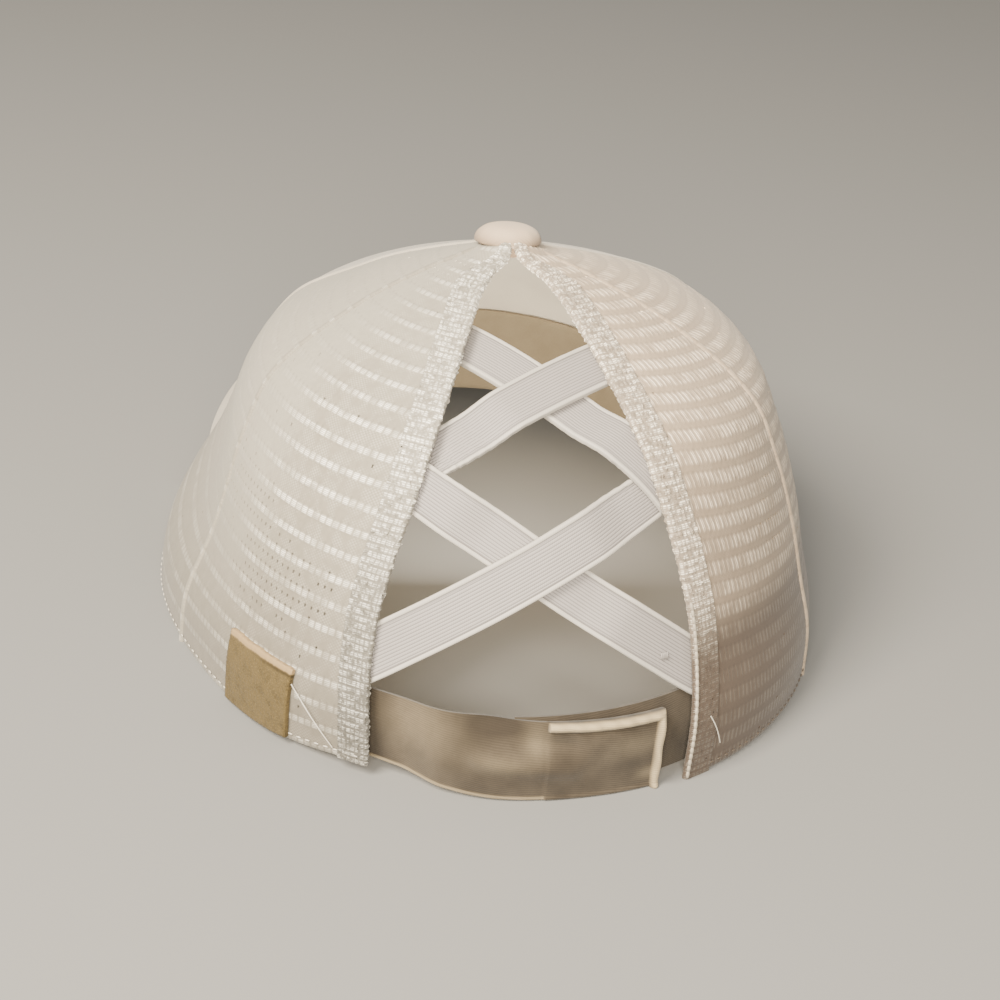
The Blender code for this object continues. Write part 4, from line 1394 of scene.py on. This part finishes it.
@dataclass
class ElasticBand:
    """One braided elastic, pulled straight across the opening."""

    row: ElasticRow
    partner: ElasticRow
    crown: Crown
    width: float = 0.0120
    wall: float = 0.0010
    tuck: float = 0.0050
    level: float = 0.0020
    ease: float = 0.0110
    near_layer: float = 0.0020
    far_layer: float = 0.0039
    ribs: int = 13
    rib_height: float = 0.00009
    edge_width: float = 0.0011
    edge_height: float = 0.00028
    edge_ease: float = 0.0003
    inner_relief: float = 0.3
    columns: int = 90
    rows: int = 104

    def _edge(self, side: int, climb: float) -> Array:
        """Return the point of the opening's edge at a climb."""
        return self.crown.face(side * self.crown.opening_angle(climb), climb)

    def _crossing(self) -> Tuple[float, float]:
        """Return the share of the length where the partner crosses, and half the lap's length."""
        middle = np.array((0.0, self.crown.middle_y, self.crown.hollow_middle))
        start, end = self._edge(1, self.row.left) - middle, self._edge(-1, self.row.right) - middle
        plane = np.cross(start, end)
        other = np.cross(self._edge(1, self.partner.left) - middle,
                         self._edge(-1, self.partner.right) - middle)
        share = start.dot(other) / (start - end).dot(other)
        return share, self.width / 2.0 / math.tan(Vector(plane).angle(Vector(other)) / 2.0)

    def _relief(self, across: Array) -> Array:
        """Return the height of the ribs and edge cords at metres across the band."""
        from_edge = np.minimum(across, self.width - across)
        inner = np.clip((from_edge - self.edge_width) / self.edge_ease, 0.0, 1.0)
        ribs = np.abs(np.sin(math.pi * self.ribs * (across - self.edge_width)
                             / (self.width - 2.0 * self.edge_width)))
        return half_round(from_edge, self.edge_width) * self.edge_height + inner * ribs * self.rib_height

    def build(self, material: bpy.types.Material) -> None:
        """Make the band."""
        crown = self.crown
        ends = [self._edge(1, self.row.left), self._edge(-1, self.row.right)]
        step = crown.climb_for(self.width / 2.0)
        runs = [self._edge(1, self.row.left + step) - ends[0],
                self._edge(-1, self.row.right + step) - ends[1]]
        pull = ends[1] - ends[0]
        length = float(np.linalg.norm(pull))
        along = pull / length
        tuck = self.tuck / length
        crossing, reach = self._crossing()
        level, ease = (reach + self.level) / length, self.ease / length
        layers = [self.near_layer if layer == 1 else self.far_layer
                  for layer in (self.row.left_layer, self.row.crossing_layer, self.row.right_layer)]

        def outer_depth(share: Array) -> Array:
            entered = smooth_step((share - crossing + level + ease) / ease)
            passed = smooth_step((share - crossing - level) / ease)
            return mix(mix(layers[0], layers[1], entered), layers[2], passed)

        def place(u: Array, v: Array, inner: Array) -> Array:
            share = mix(-tuck, 1.0 + tuck, u)
            spot = crown.on_face(ends[0] + pull * share[:, None])
            middle, out = crown.face(*spot), crown.out(*spot)
            aside = -unit(np.cross(along, out))
            slants = [aside @ run for run in runs]
            slants = [run.dot(along) / slant for run, slant in zip(runs, slants)]
            offset = (v - 0.5) * self.width
            shift = offset * mix(slants[0], slants[1], u)
            point = middle + aside * offset[:, None] + along * shift[:, None]
            angle, climb = crown.on_face(point)
            lift = self._relief(v * self.width)
            return crown.point(angle, climb, outer_depth(share + shift / length)
                               + np.where(inner, self.wall + lift * self.inner_relief, -lift))

        piece = plain_wall(self.row.name.replace("elastic_band", "laced_elastic"), self.columns, self.rows,
                           place, length + 2.0 * self.tuck, self.width)
        hand_over(piece, material, Slot.ELASTIC, self.row.name)


@dataclass
class Elastics(CapPart):
    """The four elastics laced across the opening in two crosses."""

    rows: Tuple[ElasticRow, ...] = (
        ElasticRow("elastic_band_1", 0.720, 0.500, 2, 2, 1),
        ElasticRow("elastic_band_2", 0.502, 0.675, 2, 1, 1),
        ElasticRow("elastic_band_3", 0.443, 0.183, 1, 2, 1),
        ElasticRow("elastic_band_4", 0.189, 0.443, 1, 1, 2),
    )

    def build(self) -> None:
        """Make the four bands."""
        for first, second in (self.rows[:2], self.rows[2:]):
            ElasticBand(first, second, self.crown).build(self.wardrobe.elastic)
            ElasticBand(second, first, self.crown).build(self.wardrobe.elastic)


@dataclass
class Sweatband(CapPart):
    """The band inside the hem."""

    height: float = 0.0320
    lift: float = 0.0006
    depth: float = 0.0019
    wall: float = 0.0015
    edge_reach: float = 0.0008
    edge_depth: float = 0.0005
    cloth_length: float = 0.480
    paleness: float = 0.25
    columns: int = 300
    rows: int = 32

    def build(self) -> None:
        """Make the band."""
        crown = self.crown

        def place(u: Array, v: Array, inner: Array) -> Array:
            climb = crown.climb_for(self.lift + v * self.height)
            past = crown.fold_at(climb) + crown.clearance
            start = crown.past_opening(1, climb, past)
            end = crown.past_opening(-1, climb, past) + math.tau
            rounding = turned_in(np.minimum(v, 1.0 - v) * self.height, self.edge_reach, self.edge_depth)
            return crown.point(mix(start, end, u), climb,
                               self.depth + np.where(inner, self.wall - rounding, rounding))

        piece = plain_wall("inner_sweatband", self.columns, self.rows, place, self.cloth_length,
                           self.height, {"pale": self.paleness, "shaded": 0.0})
        hand_over(piece, self.wardrobe.tape, Slot.TAPE, "sweatband")


@dataclass
class Closure(CapPart):
    """The two straps that close over each other below the opening.

    Places on the outer strap are shares of its length and height. Soft bumps paint shadow into
    the folds of its cloth and highlights onto its lit places.
    """

    height: float = 0.0200
    wall: float = 0.0012
    tuck: float = 0.0160
    left_rise: float = 0.0004
    right_rise: float = 0.0030
    end_rise: float = 0.0006
    behind_share: float = 0.24
    ease_share: float = 0.14
    shortfall: float = 0.0052
    overlap: float = 0.0420
    layer: float = 0.0037
    layer_gap: float = 0.0007
    wave: float = 0.0012
    waves: Tuple[BumpRow, ...] = (
        BumpRow(0.22, 0.70, 0.14, 0.45, 0.9),
        BumpRow(0.52, 0.25, 0.16, 0.40, 1.1),
        BumpRow(0.84, 0.90, 0.20, 0.35, 1.0),
    )
    # Painted shadows in the strap's folds.
    painted_shadows: Tuple[BumpRow, ...] = (
        BumpRow(0.18, 0.50, 0.035, 2.00, 0.9),
        BumpRow(0.48, 0.40, 0.150, 0.60, 0.35),
        BumpRow(0.43, 0.66, 0.060, 0.16, 0.5),
        BumpRow(0.40, 0.33, 0.050, 0.16, 0.5),
        BumpRow(0.52, 0.92, 0.110, 0.18, 1.2),
        BumpRow(0.60, 0.22, 0.110, 0.14, 0.4),
        BumpRow(0.71, 0.50, 0.070, 0.18, 0.7),
        BumpRow(0.70, 0.08, 0.040, 0.16, 0.5),
        BumpRow(0.80, 0.14, 0.050, 0.18, 0.6),
        BumpRow(0.90, 0.36, 0.080, 0.12, 0.6),
    )
    # Painted highlights where the strap is lit.
    painted_highlights: Tuple[BumpRow, ...] = (
        BumpRow(0.30, 0.68, 0.120, 0.40, 0.12),
        BumpRow(0.53, 0.47, 0.070, 0.11, 0.13),
        BumpRow(0.63, 0.74, 0.035, 0.20, 0.18),
        BumpRow(0.91, 0.62, 0.070, 0.14, 0.10),
        BumpRow(0.96, 0.20, 0.030, 0.08, 0.15),
    )
    crease_start: Tuple[float, float] = (0.45, 0.52)
    crease_slope: float = 0.45
    crease_reach: float = 0.30
    crease_ease: float = 0.06
    crease_ridge: float = 0.0009
    ridge_spread: float = 0.13
    crease_trough: float = 0.0012
    trough_above: float = 0.30
    trough_spread: float = 0.14
    curl_place: Tuple[float, float] = (0.50, 0.085)
    curl_from: float = 0.72
    curl_depth: float = 0.0030
    tab_length: float = 0.0290
    tab_step: float = 0.0006
    tab_height: float = 0.0003
    roll: float = 0.0024
    roll_height: float = 0.0013
    roll_wobble: float = 0.25
    wobble_turns: Tuple[float, float, float] = (95.0, 14.0, 37.0)
    roll_pale: float = 0.75
    selvage: float = 0.0010
    selvage_height: float = 0.0003
    selvage_pale: float = 0.35
    under_shade: float = 0.45
    columns: int = 200
    rows: int = 72

    def build(self) -> None:
        """Make both straps."""
        self.outer_strap()
        self.inner_strap()

    def _bend(self, u: Array, v: Array) -> Array:
        """Return the depth of the outer strap's face, with its soft waves."""
        out = bumps(self.waves, u, v)
        free = smooth_step((u - self.behind_share) / self.ease_share)
        outer_layer = self.layer - self.wall - self.layer_gap
        along = u - self.crease_start[0]
        begun = smooth_step(along / self.crease_ease + 0.5)
        ended = smooth_step((along - self.crease_reach) / self.crease_ease + 0.5)
        line = self.crease_start[1] - self.crease_slope * along
        crease = (self.crease_trough * hump(v, line + self.trough_above, self.trough_spread)
                  - self.crease_ridge * hump(v, line, self.ridge_spread)) * begun * (1.0 - ended)
        curled = smooth_step((v - self.curl_from) / (1.0 - self.curl_from))
        curl = self.curl_depth * hump(u, *self.curl_place) * curled
        return mix(self.layer, outer_layer, free) - self.wave * out * free + crease + curl

    def _spot(self, length: Array, low: Array, v: Array) -> Tuple[Array, Array]:
        """Return the angle and climb at a length from the back's middle and a share up."""
        climb = self.crown.climb_for(low + v * self.height)
        return self.crown.turn_for(length, length / self.crown.rim_half_width, climb), climb

    def outer_strap(self) -> None:
        """Make the strap with the tab end."""
        start = self.crown.opening_half_width + self.tuck
        end = -(self.crown.opening_half_width - self.shortfall)
        total = start - end

        def edges(u: Array, v: Array) -> Tuple[Array, Array, Array]:
            """Return how much a place is in the tab, its rolled edge, and the selvage."""
            from_end = (1.0 - u) * total
            from_top = (1.0 - v) * self.height
            in_tab = smooth_step((self.tab_length - from_end) / self.tab_step + 0.5)
            border = np.minimum(from_end, np.where(from_end < self.tab_length, from_top, 1.0))
            return in_tab, half_round(border, self.roll), half_round(v * self.height, self.selvage)

        def place(u: Array, v: Array, inner: Array) -> Array:
            angle, climb = self._spot(mix(start, end, u), mix(self.left_rise, 0.0, u), v)
            in_tab, rolled, low = edges(u, v)
            turns = self.wobble_turns
            puffed = 1.0 + self.roll_wobble * np.sin(u * turns[0] + v * turns[1]) * np.sin(u * turns[2])
            lift = (self.tab_height * in_tab + self.roll_height * rolled * puffed
                    + self.selvage_height * low)
            return self.crown.point(angle, climb, self._bend(u, v) + np.where(inner, self.wall, -lift))

        def pale(u: Array, v: Array) -> Array:
            in_tab, rolled, low = edges(u, v)
            # The rolled edge's cream with a painted highlight, the selvage's pale tone, and the painted
            # highlights.
            edge = self.roll_pale * rolled + self.selvage_pale * low * (1.0 - in_tab)
            return np.clip(edge + bumps(self.painted_highlights, u, v), 0.0, 1.0)

        def shaded(u: Array, v: Array) -> Array:
            # Painted shadow in the strap's folds.
            return np.clip(bumps(self.painted_shadows, u, v), 0.0, 1.0)

        piece = plain_wall("strap_with_tab", self.columns, self.rows, place, total, self.height,
                           {"pale": pale, "shaded": shaded}, sharp=60.0)
        hand_over(piece, self.wardrobe.tape, Slot.TAPE, "closure_strap_left")

    def inner_strap(self) -> None:
        """Make the strap that the tab closes over."""
        start = -(self.crown.opening_half_width + self.tuck)
        end = -(self.crown.opening_half_width - self.overlap)

        def place(u: Array, v: Array, inner: Array) -> Array:
            angle, climb = self._spot(mix(start, end, u), mix(self.right_rise, self.end_rise, u), v)
            return self.crown.point(angle, climb, self.layer + np.where(inner, self.wall, 0.0))

        piece = plain_wall("strap_underneath", self.columns // 2, self.rows, place, end - start,
                           self.height, {"pale": 0.0, "shaded": self.under_shade})
        hand_over(piece, self.wardrobe.tape, Slot.TAPE, "closure_strap_right")


@dataclass
class Tag(CapPart):
    """The bare suede tag beside the opening."""

    width: float = 0.0235
    height: float = 0.0180
    wall: float = 0.0013
    lift: float = 0.0012
    angle: float = math.radians(47.4)
    folded_top: float = 0.0013
    fold_ease: float = 0.0004
    roughness: float = 0.00005
    fray_step: float = 0.00008
    fray_share: float = 0.7
    edge_reach: float = 0.0006
    edge_depth: float = 0.0003
    groove: float = 0.0004
    painted_edge_shade_most: float = 0.8
    columns: int = 84
    rows: int = 64

    def build(self) -> None:
        """Make the tag."""
        rng = np.random.default_rng(SEED)
        rough = rng.normal(0.0, self.roughness, size=(self.rows + 1, self.columns + 1))
        frayed = np.cumsum(rng.normal(0.0, self.fray_step, size=self.columns + 1))
        frayed = (frayed - np.linspace(frayed[0], frayed[-1], len(frayed))) * self.fray_share

        def place(u: Array, v: Array, inner: Array) -> Array:
            column = np.rint(u * self.columns).astype(int)
            row = np.rint(v * self.rows).astype(int)
            climb = self.crown.climb_for(self.lift + v * self.height + frayed[column] * v ** 3)
            turn = self.crown.turn_for(self.width, self.angle, climb)
            from_edge = np.minimum(np.minimum(u, 1.0 - u) * self.width, np.minimum(v, 1.0 - v) * self.height)
            rounding = turned_in(from_edge, self.edge_reach, self.edge_depth)
            outer = -self.wall - self.crown.clearance + rounding + rough[row, column]
            depth = np.where(inner, -self.crown.clearance, outer)
            return self.crown.point(self.angle + (u - 0.5) * turn, climb, depth)

        # Painted shade: darker along the tag's right edge and in the groove under the folded top.
        def worn(u: Array, v: Array) -> Array:
            below_fold = hump((1.0 - v) * self.height, self.folded_top + self.groove, self.groove)
            groove = below_fold * smooth_step(1.4 - 2.0 * u)
            return np.clip(1.0 - (1.0 - u) * self.width / self.edge_reach, groove, 1.0) * self.painted_edge_shade_most

        def pale(u: Array, v: Array) -> Array:
            return smooth_step((self.folded_top - (1.0 - v) * self.height) / self.fold_ease + 0.5)

        piece = plain_wall("bare_tag", self.columns, self.rows, place, self.width, self.height,
                           {"worn": worn, "pale": pale})
        hand_over(piece, self.wardrobe.suede, Slot.SUEDE, "label_tag")


@dataclass
class Peak(CapPart):
    """The curved peak."""

    wall: float = 0.0030
    splay: float = math.radians(12.0)
    tip_lift: float = 0.0135
    rest_share: float = 0.985
    rounding: float = 0.0014
    roundest: float = 0.98
    rim_share: float = 0.04
    rim_rows: int = 8
    rows: int = 39
    columns: int = 150
    outline: Tuple[PeakRow, ...] = (
        PeakRow(0.00, 1.000),
        PeakRow(0.25, 0.985),
        PeakRow(0.50, 0.930),
        PeakRow(0.70, 0.800),
        PeakRow(0.85, 0.570),
        PeakRow(0.95, 0.270),
        PeakRow(1.00, 0.020),
    )

    def _turn(self, across: Array) -> Array:
        """Return the angle of the peak's root at a share of its half width, -1 to 1."""
        return self.crown.front_middle - (self.crown.front_middle - self.crown.peak_corner) * across

    def _edges(self, across: Array) -> Tuple[Array, Array]:
        """Return the points of the peak's root and of its outer edge, seen from above."""
        crown = self.crown
        curve = fair_curve(self.outline)
        turn = self._turn(across)
        root = crown.point(turn, np.zeros(len(across)), -crown.clearance)
        length = np.interp(np.abs(across), curve[:, 0], curve[:, 1]) * crown.peak_length
        heading = self.splay * across
        outer = root[:, :2] + np.stack([length * np.sin(heading), -length * np.cos(heading)], axis=1)
        return root, outer

    def build(self) -> None:
        """Make the peak."""
        near_rim = (1.0 - np.linspace(0.0, 1.0, self.rim_rows + 1)[1:]) ** 2
        levels = np.concatenate([np.linspace(0.0, 1.0 - self.rim_share, self.rows + 1),
                                 1.0 - self.rim_share * near_rim])
        _, ring = self._edges(np.linspace(-1.0, 1.0, 81))
        rest_reach = np.abs(ring[:, 0]).max() * self.rest_share

        def shape(column: Array, row: Array) -> Tuple[Array, Array, Array, Array]:
            """Return x and y, the lower face's height, and the distance from the outer edge."""
            across = mix(1.0, -1.0, column / self.columns)
            v = levels[row]
            root, outer = self._edges(across)
            tip = np.maximum(0.0, self.tip_lift * (1.0 - (outer[:, 0] / rest_reach) ** 2))
            x, y = (mix(root[:, axis], outer[:, axis], v) for axis in (0, 1))
            reach = np.linalg.norm(outer - root[:, :2], axis=1)
            return x, y, mix(self.crown.rim_lift(self._turn(across)), tip, v), (1.0 - v) * reach

        def place(column: Array, row: Array, inner: Array) -> Array:
            x, y, low, from_rim = shape(column, row)
            round_share = np.clip(1.0 - from_rim / self.rounding, 0.0, self.roundest)
            half = self.wall / 2.0 * np.sqrt(1.0 - round_share ** 2)
            return np.stack([x, y, low + self.wall / 2.0 + np.where(inner, -half, half)], axis=1)

        def uv(column: Array, row: Array) -> Tuple[Array, Array]:
            x, y, _, _ = shape(column, row)
            return x * MM, y * MM

        piece = ClothWall("curved_peak", self.columns, len(levels) - 1, place, uv, sharp=70.0).build()
        hand_over(piece, self.wardrobe.twill, Slot.TWILL, "peak")


@dataclass
class Button(CapPart):
    """The covered button at the top."""

    radius: float = 0.0083
    height: float = 0.0028
    lip: float = 0.0007
    seat_share: float = 0.93
    fullness: float = 0.7
    shank_length: float = 0.0040
    seat: float = 0.0008
    steps: int = 22
    sides: int = 96
    gathers: int = 11
    gather_depth: float = 0.00022
    gather_from: float = 0.45
    gather_sway: float = 1.3

    def build(self) -> None:
        """Spin the button's outline and gather the cloth towards its rim."""
        crown = self.crown
        middle = crown.face(0.0, 1.0)
        reach = crown.back[2][::-1] * max(crown.rim_half_length, crown.rim_half_width)
        heights = crown.back[1][::-1] * crown.height

        def under(radius: float) -> float:
            return float(np.interp(radius, reach, heights)) + self.seat

        shank = crown.top_hole_radius - 2.0 * crown.clearance
        seat_radius = self.radius * self.seat_share
        crest, waist = under(0.0) + self.height, under(self.radius) + self.lip
        foot = under(shank) - self.shank_length
        outline = [(0.0, foot), (shank, foot), (shank, under(shank)), (seat_radius, under(seat_radius))]
        for step in range(self.steps + 1):
            lift = step / self.steps * math.pi / 2.0
            outline.append((self.radius * math.cos(lift) ** self.fullness, mix(waist, crest, math.sin(lift))))
        maker = bmesh.new()
        corners = [maker.verts.new((radius, 0.0, height)) for radius, height in outline]
        for first, second in zip(corners, corners[1:]):
            maker.edges.new((first, second))
        bmesh.ops.spin(maker, geom=maker.edges[:] + maker.verts[:], cent=(0, 0, 0), axis=(0, 0, 1),
                       angle=math.tau, steps=self.sides, use_merge=True)
        bmesh.ops.remove_doubles(maker, verts=maker.verts, dist=MERGE)
        for corner in maker.verts:
            if corner.co.z < waist - 1e-5:
                continue
            radius, turn = math.hypot(corner.co.x, corner.co.y), math.atan2(corner.co.y, corner.co.x)
            share = max(0.0, radius / self.radius - self.gather_from) / (1.0 - self.gather_from)
            ripple = math.sin(self.gathers * turn + self.gather_sway * math.sin(2.0 * turn))
            corner.co.z -= (0.5 + 0.5 * ripple) * self.gather_depth * share ** 2
        bmesh.ops.rotate(maker, verts=maker.verts, cent=(0.0, 0.0, middle[2]),
                         matrix=Matrix.Rotation(crown.top_tilt, 3, "X"))
        bmesh.ops.translate(maker, verts=maker.verts, vec=(middle[0], middle[1], 0.0))
        piece = finish_mesh("covered_button", maker, sharp=60.0)
        spots = np.array([corner.co[:] for corner in piece.data.vertices])
        lay_uv(piece, (spots[:, 0] - middle[0]) * MM, (spots[:, 1] - middle[1]) * MM)
        # Painted highlight: the cloth turns paler towards the button's crest.
        paint(piece, "pale", smooth_step((spots[:, 2] - waist) / (crest - waist)))
        paint(piece, "shaded", np.zeros(len(spots)))
        hand_over(piece, self.wardrobe.button, Slot.TAPE, "crown_button")


def thread(name: str, points: Array, radius: float) -> bpy.types.Object:
    """Make a loose thread through points."""
    curve = bpy.data.curves.new(name, "CURVE")
    curve.dimensions, curve.use_fill_caps = "3D", True
    curve.bevel_depth, curve.bevel_resolution = radius, 1
    spline = curve.splines.new("POLY")
    spline.points.add(len(points) - 1)
    spline.points.foreach_set("co", np.column_stack([points, np.ones(len(points))]).ravel())
    holder = bpy.data.objects.new(name, curve)
    maker = bmesh.new()
    maker.from_mesh(bpy.data.meshes.new_from_object(holder))
    bpy.data.objects.remove(holder)
    bpy.data.curves.remove(curve)
    return finish_mesh(name, maker, sharp=80.0)


@dataclass
class Trims(CapPart):
    """Stitching, the bar tack, the braided edge and the loose threads."""

    tack_place: Tuple[float, float] = (math.radians(-22.5), 0.205)
    tack_depth: float = 0.0016
    tack_count: int = 5
    tack_gap: float = 0.00038
    braid_climbs: Tuple[float, float] = (0.004, 0.275)
    braid_inset: float = 0.0006
    hem_rise: float = 0.0022
    hem_start: float = 0.02
    thread_lift: float = 0.0003
    tail_radius: float = 0.00015
    tails: Tuple[TailRow, ...] = (
        TailRow("loose_thread_left", (0.698, 0.550), (0.100, 0.018), 0.0011),
        TailRow("loose_thread_right", (-0.517, -0.560), (0.098, 0.046), 0.0002),
    )

    def _path(self, angles: Tuple[float, float], climbs: Tuple[float, float], lift: float,
              bow: float = 0.0, count: int = 25) -> Tuple[Array, Array]:
        """Return a path over the crown's face and the cloth's outward direction.

        Args:
            angles: the angles of the path's ends.
            climbs: the climbs of the path's ends.
            lift: the height above the face.
            bow: how far the middle rises off the face; it bends up the face by twice as much.
            count: how many points the path gets.

        Returns:
            The points and the directions.
        """
        share = np.linspace(0.0, 1.0, count)
        arch = np.sin(math.pi * share)
        angle = mix(angles[0], angles[1], share)
        climb = mix(climbs[0], climbs[1], share) + arch * bow / self.crown.wall_length * 2.0
        return self.crown.point(angle, climb, -lift - bow * arch), self.crown.out(angle, climb)

    def build(self) -> None:
        """Make the stitching and the threads."""
        crown, wardrobe = self.crown, self.wardrobe
        edge = float(crown.opening_angle(0.0)) + self.hem_start
        rise = crown.climb_for(self.hem_rise)
        # The right hem's stitches take the thread darkened with painted shade.
        for side, word, finish in ((1, "left", wardrobe.thread), (-1, "right", wardrobe.shaded_hem_thread)):
            hem = StitchLine()
            hem.sew(*self._path((side * edge, side * crown.seam_front), (rise, rise), self.thread_lift,
                                count=220))
            hand_over(hem.build("hem_stitches_" + word), finish, Slot.EDGING)
        hand_over(self.bar_tack(), wardrobe.tack, Slot.EDGING)
        hand_over(self.braid(), wardrobe.braid, Slot.EDGING)
        for tail in self.tails:
            points, _ = self._path(tail.angles, tail.climbs, 2.0 * self.thread_lift, tail.bow)
            hand_over(thread(tail.name, points, self.tail_radius), wardrobe.thread, Slot.EDGING)

    def bar_tack(self) -> bpy.types.Object:
        """Make the short bar of stitches on the third elastic."""
        angle, climb = (np.array([value]) for value in self.tack_place)
        spot = self.crown.point(angle, climb, self.tack_depth)[0]
        out = Vector(self.crown.out(angle, climb)[0])
        up = Vector(self.crown.face(angle, climb + 0.01)[0] - self.crown.face(angle, climb)[0]).normalized()
        aside = up.cross(out).normalized()
        tack = StitchLine(Stitch(length=0.0019, radius=0.00024))
        for k in range(self.tack_count):
            tack.add(Vector(spot) + aside * (k - (self.tack_count - 1) / 2.0) * self.tack_gap, up, out)
        return tack.build("bar_tack")

    def braid(self) -> bpy.types.Object:
        """Make the braided line up the lower right edge of the opening."""
        climb = np.linspace(*self.braid_climbs, 60)
        angle = self.crown.past_opening(-1, climb, np.full(len(climb), self.braid_inset))
        braid = StitchLine(Stitch(length=0.0026, pitch=0.0016, radius=0.00043))
        braid.sew(self.crown.point(angle, climb, -self.thread_lift), self.crown.out(angle, climb))
        return braid.build("opening_braid")


@dataclass
class Studio:
    """The floor, the lights and the camera."""

    wardrobe: Wardrobe
    target: Tuple[float, float, float] = (0.0, 0.03605, 0.0576)
    azimuth: float = 0.1422
    elevation: float = 0.4084
    roll: float = 0.0847
    distance: float = 0.528
    lens: float = 74.72
    shift: Tuple[float, float] = (-0.0046, -0.1092)
    floor_size: float = 4.0
    floor_bend: float = 1.6
    bend_curve: float = 0.6
    sky_colour: Colour = (1.0, 0.955, 0.88)
    sky_strength: float = 0.75
    lights: Tuple[LightRow, ...] = (
        LightRow("key_light", (0.62, 0.62, 0.90), 0.50, 54.0, (1.0, 0.90, 0.75)),
        LightRow("front_light", (0.12, 0.84, 0.42), 0.30, 17.0, (1.0, 0.92, 0.79)),
        LightRow("through_net", (0.0, 0.060, 0.044), 0.05, 0.40, (1.0, 0.92, 0.79)),
    )

    def build(self) -> None:
        """Set up the studio."""
        self.floor()
        for row in self.lights:
            self.light(row)
        self.world()
        self.camera()

    def floor(self) -> None:
        """Make the pale floor with a curved back."""
        maker = bmesh.new()
        bmesh.ops.create_grid(maker, x_segments=1, y_segments=60, size=self.floor_size)
        for corner in maker.verts:
            beyond = max(0.0, -corner.co.y - self.floor_bend)
            corner.co.z = min(self.floor_bend, beyond ** 2 * self.bend_curve)
        mesh = bpy.data.meshes.new("studio_floor")
        maker.to_mesh(mesh)
        maker.free()
        mesh.shade_smooth()
        mesh.materials.append(self.wardrobe.floor)
        floor = bpy.data.objects.new("studio_floor", mesh)
        bpy.context.collection.objects.link(floor)

    def light(self, row: LightRow) -> None:
        """Make a soft light aimed at the cap."""
        lamp = bpy.data.lights.new(row.name, "AREA")
        lamp.size, lamp.energy, lamp.color = row.size, row.power, row.colour
        thing = bpy.data.objects.new(row.name, lamp)
        thing.location = row.place
        aim = Vector(self.target) - Vector(row.place)
        thing.rotation_euler = aim.to_track_quat("-Z", "Y").to_euler()
        bpy.context.collection.objects.link(thing)

    def world(self) -> None:
        """Light the cap from all round, weakly."""
        world = bpy.data.worlds.new("studio_world")
        world.use_nodes = True
        background = world.node_tree.nodes["Background"]
        background.inputs["Color"].default_value = (*self.sky_colour, 1.0)
        background.inputs["Strength"].default_value = self.sky_strength
        bpy.context.scene.world = world

    def camera(self) -> None:
        """Put the camera at the photo's angle."""
        turn = math.pi - self.azimuth
        level_share = math.cos(self.elevation)
        back = Vector((math.sin(turn) * level_share, -math.cos(turn) * level_share,
                       math.sin(self.elevation)))
        level = (-back).cross(Vector((0.0, 0.0, 1.0))).normalized()
        upright = level.cross(-back)
        right = level * math.cos(self.roll) + upright * math.sin(self.roll)
        up = upright * math.cos(self.roll) - level * math.sin(self.roll)
        lens = bpy.data.cameras.new("studio_camera")
        lens.lens, lens.sensor_width = self.lens, 36.0
        lens.shift_x, lens.shift_y = self.shift
        lens.clip_start = 0.01
        view = bpy.data.objects.new("studio_camera", lens)
        turned = Matrix((right, up, back)).transposed().to_4x4()
        view.matrix_world = Matrix.Translation(Vector(self.target) + back * self.distance) @ turned
        bpy.context.collection.objects.link(view)
        bpy.context.scene.camera = view


class PonytailCap:
    """The whole cap."""

    def __init__(self) -> None:
        """Work out the crown and make the finishes."""
        self.crown = Crown()
        self.wardrobe = Wardrobe()

    def build(self) -> None:
        """Make every piece."""
        for part in (NetPanels, FrontPanels, Elastics, Sweatband, Closure, Tag, Peak, Button, Trims):
            part(self.crown, self.wardrobe).build()


def main() -> None:
    """Build the cap and the studio, logging each piece's face count."""
    logging.basicConfig(level=logging.INFO, format="%(name)s: %(message)s")
    cap = PonytailCap()
    cap.build()
    Studio(cap.wardrobe).build()


if __name__ == "__main__":
    main()
